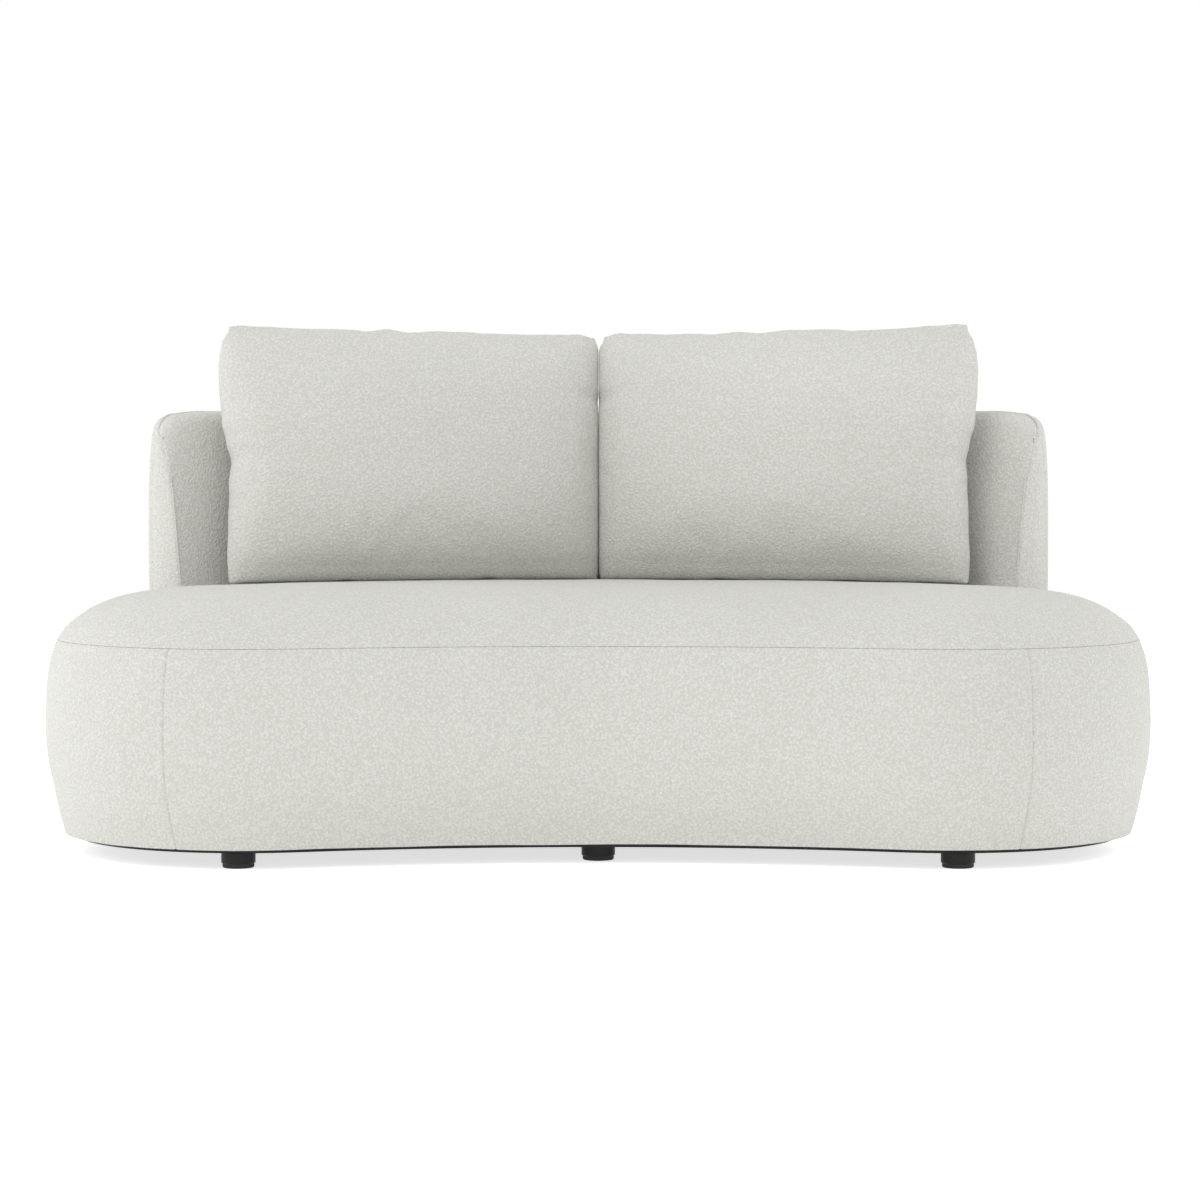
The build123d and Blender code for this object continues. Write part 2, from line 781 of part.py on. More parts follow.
for name, side in (("left", -1), ("right", 1)):
    outside = make_cushion(side, 0)
    pad = make_cushion(side, cushion_cover_thickness)
    write(pad, f"{name}_cushion_pad")

    for panel, keep in (("rear", Keep.TOP), ("front", Keep.BOTTOM)):
        with BuildPart() as cover:
            add(outside.part)
            add(pad.part, mode=Mode.SUBTRACT)
            split(bisect_by=middle_plane(side), keep=keep)
        write(cover, f"{name}_cushion_{panel}_cover")

    # The zip's seat: the point of the rear panel at the zip's level, and the panel's slope there
    section = cushion_plane(side, zip_level)
    ray = Axis(section.origin, section.y_dir)
    hits = outside.part.find_intersection_points(ray)
    point, normal = max(hits, key=lambda hit: (hit[0] - section.origin).dot(section.y_dir))
    if normal.dot(section.y_dir) < 0:
        normal = -normal
    seat = Plane(origin=point, x_dir=section.x_dir, z_dir=normal)

    tape = make_zip_layer(side, -tape_thickness, 0, tape_width, seat)
    write(tape, f"{name}_zip_tape")

    coil = make_zip_layer(side, -tape_thickness - coil_thickness, -tape_thickness, coil_width, seat)
    write(coil, f"{name}_zip_coil")

    # The slider rests at the inner end of the zip, and its pull lies along the tape
    slider_x = -side * (zip_length / 2 - slider_end)
    slider_base = tape_thickness + coil_thickness + rest_gap
    slider_top = slider_base + slider_thickness
    with BuildPart() as slider:
        with BuildSketch(seat.offset(slider_base)):
            with Locations((slider_x, 0)):
                RectangleRounded(slider_length, slider_width, slider_width / 4)
        extrude(amount=slider_thickness)
        with BuildSketch(Plane(origin=seat.from_local_coords((slider_x, 0, slider_top)),
                               x_dir=seat.x_dir, z_dir=-seat.y_dir)):
            Rectangle(bridge_length, bridge_height, align=(Align.CENTER, Align.MIN))
            with Locations((0, (bridge_height - bridge_thickness) / 2)):
                Circle(pull_pin_diameter / 2 + rest_gap, mode=Mode.SUBTRACT)
        extrude(amount=bridge_thickness / 2, both=True)
    write(slider, f"{name}_zip_slider")

    pin_level = slider_top + (bridge_height - bridge_thickness) / 2
    with BuildPart() as pull:
        with BuildSketch(seat.offset(pin_level - pull_thickness / 2)):
            with Locations((slider_x + side * (pull_length - pull_pin_diameter / 2) / 2, 0)):
                RectangleRounded(pull_length + pull_pin_diameter / 2, pull_width, pull_pin_diameter / 4)
            with Locations((slider_x, 0)):
                Rectangle(slider_width + 2 * rest_gap, pull_eye, mode=Mode.SUBTRACT)
        extrude(amount=pull_thickness)
        with BuildSketch(Plane(origin=seat.from_local_coords((slider_x, 0, pin_level)),
                               x_dir=seat.x_dir, z_dir=-seat.y_dir)):
            Circle(pull_pin_diameter / 2)
        extrude(amount=pull_width / 2, both=True)
    write(pull, f"{name}_zip_pull")
    print(f"{name} zip: pull hinge {seat.from_local_coords((slider_x, 0, pin_level))}")
    print(f"{name} zip: along {seat.x_dir}, across {seat.y_dir}")
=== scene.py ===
# %% [markdown]
# # A curved bouclé sofa
# The carpenter's half of this sofa is already fixed: boards, feet, zips and the space of every pad come
# in as the frame. This lesson makes the upholsterer's half, which is cloth over foam and two loose
# pillows, and lights it. Everything is in metres, +X to the right end, +Y to the back, +Z up.

# %% Load the frame
import json
import math

import bpy
import bmesh
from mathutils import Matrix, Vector, noise


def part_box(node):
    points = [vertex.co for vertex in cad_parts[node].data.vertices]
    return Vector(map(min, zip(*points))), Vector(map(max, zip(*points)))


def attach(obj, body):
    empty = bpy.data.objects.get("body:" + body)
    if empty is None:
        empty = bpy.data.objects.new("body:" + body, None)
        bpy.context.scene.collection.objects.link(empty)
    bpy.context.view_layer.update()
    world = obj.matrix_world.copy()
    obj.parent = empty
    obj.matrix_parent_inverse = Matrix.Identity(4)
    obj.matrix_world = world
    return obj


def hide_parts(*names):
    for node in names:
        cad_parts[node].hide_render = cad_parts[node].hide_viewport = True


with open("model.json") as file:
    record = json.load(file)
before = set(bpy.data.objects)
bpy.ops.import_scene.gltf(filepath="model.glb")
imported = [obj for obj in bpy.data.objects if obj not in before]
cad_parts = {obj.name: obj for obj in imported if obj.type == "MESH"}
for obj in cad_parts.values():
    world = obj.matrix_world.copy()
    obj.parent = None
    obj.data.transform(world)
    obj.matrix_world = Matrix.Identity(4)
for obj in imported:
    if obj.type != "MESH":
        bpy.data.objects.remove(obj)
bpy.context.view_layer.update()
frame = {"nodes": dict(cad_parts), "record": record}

# %% [markdown]
# ## The camera
# The picture was taken almost level, from about six metres away with a long lens, so that the lines of
# the seat hardly converge. Where the ends of the plinth line, the seam and the feet lie fixes the eye's
# height and distance. A longer lens than a phone's keeps the sofa's true proportions.

# %% Set the camera
EYE = Vector((0.003, -5.885, 0.676))
LENS_MM = 99.5
SENSOR_MM = 36.0
LOOK_DOWN_DEG = 2.416

camera_data = bpy.data.cameras.new("long_lens")
camera_data.lens = LENS_MM
camera_data.sensor_width = SENSOR_MM
camera = bpy.data.objects.new("camera", camera_data)
camera.location = EYE
camera.rotation_euler = (math.radians(90 - LOOK_DOWN_DEG), 0, 0)
bpy.context.collection.objects.link(camera)
bpy.context.scene.camera = camera
print("camera at", tuple(round(v, 3) for v in EYE))

# %% [markdown]
# ## Colours
# A hex colour is written as it would be mixed on a screen. The renderer works in linear light, so one
# function turns the first into the second.

# %% Colour conversion
MM = 0.001


def linear(hex_colour):
    """(r, g, b, 1) in linear light from an sRGB hex string such as "#DEDCD5"."""
    channels = []
    for start in (1, 3, 5):
        value = int(hex_colour[start:start + 2], 16) / 255
        channels.append(value / 12.92 if value <= 0.04045 else ((value + 0.055) / 1.055) ** 2.4)
    return (*channels, 1.0)


# %% [markdown]
# A material is a small web of nodes. One helper places a node, sets its sockets and draws the links into
# it, so that each material below reads as a recipe.

# %% The node helper
def add_node(tree, kind, links=None, values=None, **settings):
    """A node of that kind: settings are its properties, values its sockets, links what feeds its sockets."""
    node = tree.nodes.new(kind)
    for name, value in settings.items():
        setattr(node, name, value)
    for name, value in (values or {}).items():
        node.inputs[name].default_value = value
    for name, source in (links or {}).items():
        tree.links.new(source, node.inputs[name])
    return node


def new_material(name):
    """An empty material and its tree, with the output node in place."""
    material = bpy.data.materials.new(name)
    material.use_nodes = True
    tree = material.node_tree
    tree.nodes.clear()
    tree.nodes.new("ShaderNodeOutputMaterial")
    return material, tree


def finish_material(tree, shader):
    """Joins a shader to the material's output."""
    tree.links.new(shader.outputs[0], tree.nodes["Material Output"].inputs["Surface"])


# %% [markdown]
# ## Wool bouclé
# Bouclé is woven from a yarn with small loops. The loops stand about four millimetres apart and catch
# light on their tops, and tiny shadows lie between them, so the cloth looks soft and slightly speckled,
# never shiny. The loops are made as rounded cells, warped so that no two are alike, and they drive both
# the relief and a slight change of colour, which is painted light: a painted highlight on each loop's top
# and painted shade in the valleys between them. A finer noise stands for the yarn's fibres, and a sheen
# for the fuzz that lights up at edges. The loops are drawn somewhat coarser than such cloth usually has
# them, so that they show at this picture's size.

# %% Bouclé material
LOOP_MM = 4.2
CLUMP_MM = 9.0
FIBRE_MM = 1.6
DRIFT_MM = 320.0
LOOP_BEND = 0.004
CLUMP_SHARE = 0.45
FIBRE_SHARE = 0.45


def make_boucle(name, lit_tip, valley, loop_height_mm):
    """Looped wool cloth, from its loops' tip colour (painted highlight) and valley colour (painted shade).
    """
    material, tree = new_material(name)
    place = add_node(tree, "ShaderNodeTexCoord").outputs["Object"]
    warp = add_node(tree, "ShaderNodeTexNoise", {"Vector": place},
                    {"Scale": 1 / (CLUMP_MM * MM), "Detail": 2.0, "Roughness": 0.6})
    push = add_node(tree, "ShaderNodeVectorMath", {0: warp.outputs["Color"]}, {"Scale": LOOP_BEND},
                    operation="SCALE")
    bent = add_node(tree, "ShaderNodeVectorMath", {0: place, 1: push.outputs[0]}, operation="ADD")
    loops = add_node(tree, "ShaderNodeTexVoronoi", {"Vector": bent.outputs[0]},
                     {"Scale": 1 / (LOOP_MM * MM), "Randomness": 1.0, "Smoothness": 0.6},
                     feature="SMOOTH_F1")
    fibres = add_node(tree, "ShaderNodeTexNoise", {"Vector": place},
                      {"Scale": 1 / (FIBRE_MM * MM), "Detail": 3.0, "Roughness": 0.65})
    drift = add_node(tree, "ShaderNodeTexNoise", {"Vector": place},
                     {"Scale": 1 / (DRIFT_MM * MM), "Detail": 2.0, "Roughness": 0.5})
    dome = add_node(tree, "ShaderNodeMapRange", {"Value": loops.outputs["Distance"]},
                    {"From Min": 0.05, "From Max": 0.75, "To Min": 1.0, "To Max": 0.0},
                    interpolation_type="SMOOTHSTEP")
    mixed = add_node(tree, "ShaderNodeMath", {0: fibres.outputs["Fac"], 2: dome.outputs["Result"]},
                     {1: FIBRE_SHARE}, operation="MULTIPLY_ADD")
    relief = add_node(tree, "ShaderNodeMath", {0: warp.outputs["Fac"], 2: mixed.outputs[0]},
                      {1: CLUMP_SHARE}, operation="MULTIPLY_ADD")
    # Lighter loop tips are a painted highlight and darker valleys between loops are painted shade
    colour = add_node(tree, "ShaderNodeMix", {"Factor": dome.outputs["Result"]}, data_type="RGBA")
    colour.inputs["A"].default_value = linear(valley)
    colour.inputs["B"].default_value = linear(lit_tip)
    shade = add_node(tree, "ShaderNodeMapRange", {"Value": drift.outputs["Fac"]},
                     {"From Min": 0.3, "From Max": 0.7, "To Min": 0.975, "To Max": 1.015})
    tone = add_node(tree, "ShaderNodeHueSaturation",
                    {"Color": colour.outputs["Result"], "Value": shade.outputs["Result"]})
    bump = add_node(tree, "ShaderNodeBump", {"Height": relief.outputs[0]},
                    {"Strength": 0.75, "Distance": loop_height_mm * MM})
    shader = add_node(tree, "ShaderNodeBsdfPrincipled",
                      {"Base Color": tone.outputs["Color"], "Normal": bump.outputs["Normal"]},
                      {"Roughness": 0.95, "IOR": 1.5, "Specular IOR Level": 0.15,
                       "Sheen Weight": 0.25, "Sheen Roughness": 0.55})
    finish_material(tree, shader)
    return material


# The first colour is the loop tips' painted highlight, the second the valleys' painted shade
wool_boucle = make_boucle("wool_boucle", "#D8D8D4", "#C4C3BD", 1.3)
print("bouclé loops stand", LOOP_MM, "mm apart")

# %% [markdown]
# ## Lacquered beech
# The feet and the thin board under the upholstery are painted black and rubbed to a satin. Satin lacquer
# keeps a soft highlight along a chamfer and shows faint brush waves, while its colour is almost even.

# %% Lacquer, plastic, timber, metal and padding
def make_finish(name, dark, light, pattern_mm, stretch, roughness, relief_mm, metallic=0.0, ior=1.5):
    """A finish whose colour and relief follow one stretched noise: brushed lacquer, grain or foam cells."""
    material, tree = new_material(name)
    place = add_node(tree, "ShaderNodeTexCoord").outputs["Object"]
    scaled = add_node(tree, "ShaderNodeMapping", {"Vector": place})
    scaled.inputs["Scale"].default_value = tuple(s / (pattern_mm * MM) for s in stretch)
    grain = add_node(tree, "ShaderNodeTexNoise", {"Vector": scaled.outputs[0]},
                     {"Scale": 1.0, "Detail": 3.0, "Roughness": 0.6})
    colour = add_node(tree, "ShaderNodeMix", {"Factor": grain.outputs["Fac"]}, data_type="RGBA")
    colour.inputs["A"].default_value = linear(dark)
    colour.inputs["B"].default_value = linear(light)
    rough = add_node(tree, "ShaderNodeMapRange", {"Value": grain.outputs["Fac"]},
                     {"To Min": roughness - ROUGH_SPREAD, "To Max": min(roughness + ROUGH_SPREAD, 1.0)})
    bump = add_node(tree, "ShaderNodeBump", {"Height": grain.outputs["Fac"]},
                    {"Strength": 0.5, "Distance": relief_mm * MM})
    shader = add_node(tree, "ShaderNodeBsdfPrincipled",
                      {"Base Color": colour.outputs["Result"], "Roughness": rough.outputs["Result"],
                       "Normal": bump.outputs["Normal"]},
                      {"Metallic": metallic, "IOR": ior})
    finish_material(tree, shader)
    return material


EVEN = (1, 1, 1)
LACQUER_IOR = 1.33
ROUGH_SPREAD = 0.06
finishes = {
    "black_lacquered_wood": make_finish("satin_lacquered_beech", "#101010", "#1A1A19", 14, (1, 1, 0.2), 0.42,
                                        0.1, ior=LACQUER_IOR),
    "black_glide_plastic": make_finish("moulded_polypropylene", "#0D0D0D", "#191919", 0.8, EVEN, 0.6, 0.05),
    "zinc_plated_steel": make_finish("zinc_plated_steel", "#A9ABAD", "#C6C8CA", 2, EVEN, 0.35, 0.02, 1.0),
    "pine": make_finish("planed_pine", "#C79A63", "#E2BF8C", 9, (1, 1, 0.1), 0.6, 0.15),
    "birch_plywood": make_finish("sanded_birch_plywood", "#C9AB7C", "#E0C89E", 7, (0.1, 1, 1), 0.62, 0.1),
    "elastic_webbing": make_finish("woven_elastic_webbing", "#1B1B1B", "#3A3A38", 2.5, EVEN, 0.85, 0.3),
    "upholstery_foam": make_finish("cut_polyurethane_foam", "#D8CFA8", "#EBE4C4", 1.5, EVEN, 0.95, 0.4),
    "fibre_wadding": make_finish("bonded_polyester_wadding", "#E6E6E4", "#F6F6F5", 4, EVEN, 0.95, 0.8),
    "fibre_fill": make_finish("cotton_ticking", "#E2E0DA", "#F2F0EB", 1.2, EVEN, 0.9, 0.1),
    "cream_zip_tape": make_finish("woven_zip_tape", "#C9C7C0", "#D6D4CD", 0.9, EVEN, 0.85, 0.15),
    "zip_metal": make_finish("nickel_plated_zinc", "#9C9A96", "#BDBBB7", 1.5, EVEN, 0.3, 0.02, 1.0),
    "cream_boucle": wool_boucle,
}
slots = {part["node"]: part["material_slot"] for part in frame["record"]["subparts"]}
for node, thing in frame["nodes"].items():
    finish = finishes[slots[node]]
    if thing.data.materials:
        for index in range(len(thing.data.materials)):
            thing.data.materials[index] = finish
    else:
        thing.data.materials.append(finish)
print(len(slots), "carried-over pieces have their finish")

# %% [markdown]
# ## The plan of the seat
# The seat is a kidney: two round ends, a gently bowed rear and a hollow front, all arcs that run into
# each other without a corner. The ends' radius, the box of the frame and the hollow's depth give all
# four arcs. A point of the upholstery is then named by how far round it lies, how far in from the
# outline, and how high.

# %% Arcs of the plan
SEAT_LOW, SEAT_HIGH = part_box("side_foam")
COVER = 0.003
seat_half = SEAT_HIGH.x + COVER
seat_front = SEAT_LOW.y - COVER
seat_rear = SEAT_HIGH.y + COVER
END_RADIUS = 0.385
FRONT_HOLLOW = 0.088
end_x = seat_half - END_RADIUS
end_y = seat_front + END_RADIUS
rear_reach = seat_rear - end_y
rear_radius = (end_x**2 + rear_reach**2 - END_RADIUS**2) / (2 * (rear_reach - END_RADIUS))
rear_centre = seat_rear - rear_radius
front_reach = end_y - (seat_front + FRONT_HOLLOW)
hollow_radius = (end_x**2 + front_reach**2 - END_RADIUS**2) / (2 * (END_RADIUS - front_reach))
hollow_centre = seat_front + FRONT_HOLLOW - hollow_radius
rear_join = math.atan2(end_y - rear_centre, end_x)
hollow_join = math.atan2(end_y - hollow_centre, end_x)

# name: centre, radius, first angle, last angle, and how an inset changes the radius
# The four make one loop, anticlockwise as seen from above.
ARCS = {
    "rear": ((0, rear_centre), rear_radius, rear_join, math.pi - rear_join, -1),
    "left": ((-end_x, end_y), END_RADIUS, math.pi - rear_join, 2 * math.pi - hollow_join, -1),
    "front": ((0, hollow_centre), hollow_radius, math.pi - hollow_join, hollow_join, 1),
    "right": ((end_x, end_y), END_RADIUS, hollow_join - math.pi, rear_join, -1),
}
arc_lengths = {name: radius * abs(last - first) for name, (_, radius, first, last, _) in ARCS.items()}
HEM_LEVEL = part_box("base_board")[0].z - COVER
SEAM_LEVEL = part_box("seat_wadding")[0].z
SEAT_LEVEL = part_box("seat_wadding")[1].z + COVER
print("rear radius", round(rear_radius, 3), "hollow radius", round(hollow_radius, 3))
print("round the seat", {name: round(length, 3) for name, length in arc_lengths.items()})

# %% [markdown]
# The cloth on the two ends is pulled a little tighter than the circle under it, most of all towards the
# front corner. That eases the end from a plain semicircle to the slightly pointed curve of the real one.

# %% A point of the plan
END_SLACK = 0.019
SLACK_FIRST = math.radians(-45)
SLACK_LAST = math.radians(90)
FOOT_REACH = 0.10
SLACK_REACH = 0.25


def end_slack(arc, angle, inset, level):
    """How much further in the cloth lies on an end. Its angle is 0 to the side and grows to the front."""
    turn = -angle if arc == "right" else angle - math.pi
    share = (turn - SLACK_FIRST) / (SLACK_LAST - SLACK_FIRST)
    if arc not in ("left", "right") or not 0 < share < 1:
        return 0.0
    fade = 1 - min(inset / SLACK_REACH, 1)
    # Low down, the board behind the cloth leaves it no room to come in
    foot = min(max((level - HEM_LEVEL) / FOOT_REACH, 0), 1)
    return END_SLACK * fade * foot * foot * (3 - 2 * foot) * math.sin(math.pi * share) ** 2


def plan_point(arc, share, inset, level):
    """The point a share of the way along an arc, that far in from the outline and that high."""
    centre, radius, first, last, inward = ARCS[arc]
    angle = first + (last - first) * share
    reach = radius + inward * (inset + end_slack(arc, angle, inset, level))
    return Vector((centre[0] + reach * math.cos(angle), centre[1] + reach * math.sin(angle), level))


def loop_point(distance, inset, level):
    """The point a distance round the seat's outline, from its right rear join."""
    for arc, length in arc_lengths.items():
        if distance <= length or arc == "right":
            return plan_point(arc, distance / length, inset, level)
        distance -= length


# %% [markdown]
# ## Sections of the seat
# The side bellies out between the turned hem and the seam, as cloth does that is pulled over foam. The
# crown starts at the seam and rounds over to the flat top. Both sections are a handful of points with a
# smooth curve through them, which is easier to fit to a photograph than a chain of arcs.

# %% Sections and the curve through their points
# (height as a share of the way from the hem to the seam, inset in metres)
SIDE_SECTION = [(0.0, 0.050), (0.045, 0.0445), (0.094, 0.0375), (0.164, 0.0265), (0.235, 0.0165),
                (0.31, 0.0085), (0.4, 0.0027), (0.53, 0.0), (0.68, 0.0012), (0.8, 0.0045), (0.9, 0.0105),
                (1.0, 0.022)]
# (height as a share of the way from the seam to the top, inset in metres)
CROWN_SECTION = [(0.0, 0.022), (0.15, 0.032), (0.32, 0.0465), (0.60, 0.085), (0.80, 0.130), (0.91, 0.176),
                 (0.98, 0.222), (1.0, 0.270)]
FINE_STEPS = 12


def smooth_curve(points, stops):
    """Points on a Catmull-Rom curve: stops is how many even ones, or gives their places from its length."""
    points = [Vector(p) for p in points]
    padded = [2 * points[0] - points[1], *points, 2 * points[-1] - points[-2]]
    fine = []
    for a, b, c, d in zip(padded, padded[1:], padded[2:], padded[3:]):
        for step in range(FINE_STEPS):
            t = step / FINE_STEPS
            fine.append(0.5 * (2 * b + (c - a) * t + (2 * a - 5 * b + 4 * c - d) * t**2
                               + (3 * b - a - 3 * c + d) * t**3))
    fine.append(points[-1])
    lengths = [0.0]
    for a, b in zip(fine, fine[1:]):
        lengths.append(lengths[-1] + (b - a).length)
    if isinstance(stops, int):
        stops = [lengths[-1] * step / (stops - 1) for step in range(stops)]
    else:
        stops = stops(lengths[-1])
    result, index = [], 0
    for stop in stops:
        while index < len(fine) - 2 and lengths[index + 1] < stop:
            index += 1
        span = lengths[index + 1] - lengths[index]
        result.append(fine[index].lerp(fine[index + 1], (stop - lengths[index]) / span if span else 0))
    return result, stops


# Close to an edge the cloth turns fast, so points lie at these distances from it, and evenly elsewhere
EDGE_STEPS = (0, 0.0012, 0.0024, 0.0038, 0.0055, 0.0080, 0.0120, 0.0175, 0.0250)
PITCH = 0.0095


def spread(length, last=True):
    """Distances from 0 to a length: close together at the start and, if last, at the end, even between."""
    low = list(EDGE_STEPS)
    high = [length - step for step in reversed(EDGE_STEPS)] if last else [length]
    count = max(int((high[0] - low[-1]) / PITCH), 2)
    return low + [low[-1] + (high[0] - low[-1]) * step / count for step in range(1, count)] + high


def section_points(section, low, high, stops):
    """(inset, level) pairs along a section, and how far along it each lies."""
    placed = [(inset, low + share * (high - low), 0) for share, inset in section]
    points, lengths = smooth_curve(placed, stops)
    return [(p.x, p.y) for p in points], lengths


side_curve, side_lengths = section_points(SIDE_SECTION, HEM_LEVEL, SEAM_LEVEL, spread)
crown_curve, crown_lengths = section_points(CROWN_SECTION, SEAM_LEVEL, SEAT_LEVEL,
                                            lambda length: spread(length, last=False))
print("side section", len(side_curve), "points, crown", len(crown_curve))

# %% [markdown]
# ## Seams and the hand of the upholsterer
# Two panels that are sewn together turn inward at the seam, so a shallow valley runs along it and the
# cloth swells softly beside it. Tight cloth over foam is never quite flat either: it carries long, low
# waves. Both are moves along the surface's normal, so one function gives the depth at a distance from a
# seam, and another the waves.

# %% Valleys and waves
SEAM_DEPTH = 0.0017
SEAM_WIDTH = 0.0030
SWELL_WIDTH = 0.030
SWELL_HEIGHT = 0.0007
CROWN_SEAM = 0.36
WAVE_REACH = 0.040
WAVE_HEIGHT = 0.0011
WAVE_LENGTH = 0.17
NARROW_LENGTH = 0.38
NARROW_HEIGHT = 0.45


def seam_dip(distance):
    """How far cloth lies under its smooth surface at a distance from a seam."""
    valley = SEAM_DEPTH * math.exp(-((distance / SEAM_WIDTH) ** 2))
    swell = SWELL_HEIGHT * math.exp(-(((distance - SWELL_WIDTH) / SWELL_WIDTH) ** 2))
    return valley - swell


def hand_wave(point):
    """Long, low unevenness of stretched cloth."""
    broad = noise.noise(point / WAVE_LENGTH)
    narrow = noise.noise(point / (WAVE_LENGTH * NARROW_LENGTH) + Vector((7.1, 3.3, 1.9)))
    return WAVE_HEIGHT * (broad + NARROW_HEIGHT * narrow)


def wavy(dip, point, edge=WAVE_REACH):
    """A dip with the cloth's waves, which die out towards a seam."""
    return dip - hand_wave(point) * min(edge / WAVE_REACH, 1)


def make_sheet(name, rows, dips):
    """A mesh from rows of points, each moved in along its normal by its dip; None holds a point."""
    mesh = bpy.data.meshes.new(name)
    width = len(rows[0])
    faces = []
    for r in range(len(rows) - 1):
        for c in range(width - 1):
            faces.append((r * width + c, r * width + c + 1, (r + 1) * width + c + 1, (r + 1) * width + c))
    mesh.from_pydata([p for row in rows for p in row], [], faces)
    mesh.update()
    flat_dips = [d for row in dips for d in row]
    normals = [v.normal.copy() for v in mesh.vertices]
    for vertex, normal, dip in zip(mesh.vertices, normals, flat_dips):
        if dip is not None:
            vertex.co -= normal * dip
    return mesh


def finish_piece(name, mesh, body, replaced, material, thickness=0.0):
    """Links a mesh as a piece that rides on a body and stands for its nodes."""
    mesh.polygons.foreach_set("use_smooth", [True] * len(mesh.polygons))
    thing = bpy.data.objects.new(name, mesh)
    bpy.context.collection.objects.link(thing)
    mesh.materials.append(material)
    if thickness:
        shell = thing.modifiers.new("cloth_thickness", "SOLIDIFY")
        shell.thickness = thickness
        shell.offset = -1
    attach(thing, body)
    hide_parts(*replaced)
    return thing


# %% [markdown]
# ## The side panels
# Four panels wrap the seat's side: the hollow front, the two ends and the rear. Each is its own cloth,
# so each is its own sheet, with a valley at every edge. Points crowd towards the edges, where the cloth
# turns fastest.

# %% Make the side panels
CLOTH = 0.0025
UPRIGHT_SEAM = math.radians(71.5)
SEAM_TUCK = 0.010
SEAM_OVERLAP = 0.001
HEM_TURN = ((0.017, 0.0006), (0.006, 0.0))

end_cloth = END_RADIUS * (rear_join + UPRIGHT_SEAM)
loop_length = sum(arc_lengths.values())
rear_end = arc_lengths["rear"]
left_end = rear_end + end_cloth
front_end = loop_length - end_cloth
PANELS = {
    "rear": (0, rear_end, ["seat_rear_cover", "rear_foam"]),
    "left": (rear_end, left_end, ["seat_left_cover"]),
    "front": (left_end, front_end, ["seat_front_cover", "side_foam"]),
    "right": (front_end, loop_length, ["seat_right_cover"]),
}


def make_side_panel(first, last):
    """Rows of points of a panel between two distances round the seat, and how deep each lies."""
    places = spread(last - first)
    hem = side_curve[0][0]
    rows, dips = [], []
    for turn, rise in HEM_TURN:
        rows.append([loop_point(first + place, hem + turn, HEM_LEVEL + rise) for place in places])
        dips.append([None] * len(places))
    for (inset, level), along in zip(side_curve, side_lengths):
        rows.append([loop_point(first + place, inset, level) for place in places])
        edge = side_lengths[-1] - along
        upright = [seam_dip(min(place, last - first - place)) for place in places]
        dips.append([wavy(max(CROWN_SEAM * seam_dip(edge), valley), point, edge)
                     for valley, point in zip(upright, rows[-1])])
    tuck = side_curve[-1][0] + SEAM_TUCK
    rows.append([loop_point(first + place, tuck, SEAM_LEVEL + SEAM_OVERLAP) for place in places])
    dips.append([None] * len(places))
    return rows, dips


for name, (first, last, nodes) in PANELS.items():
    mesh = make_sheet(f"seat_{name}_cloth", *make_side_panel(first, last))
    panel = finish_piece(f"seat_{name}_cloth", mesh, "sofa", nodes, wool_boucle, CLOTH)
    print(panel.name, len(mesh.vertices), "points")

# %% [markdown]
# ## The crown
# The top is one cloth: rings that follow the outline inward from the seam, then a lens in the middle,
# where the rings from the front and the rear meet. It rises a few millimetres towards the middle, as a
# foam block does.

# %% Make the crown
LOOP_COLUMNS = {"rear": 150, "left": 90, "front": 150, "right": 90}
MEDIAL_INSET = END_RADIUS - 0.004
DOME = 0.004
RING_COUNT = 14
LENS_STEPS = 8


def loop_row(inset, level):
    """A ring of points round the seat, that far in from the outline."""
    row = []
    for arc, columns in LOOP_COLUMNS.items():
        row += [plan_point(arc, c / columns, inset, level) for c in range(columns)]
    return row


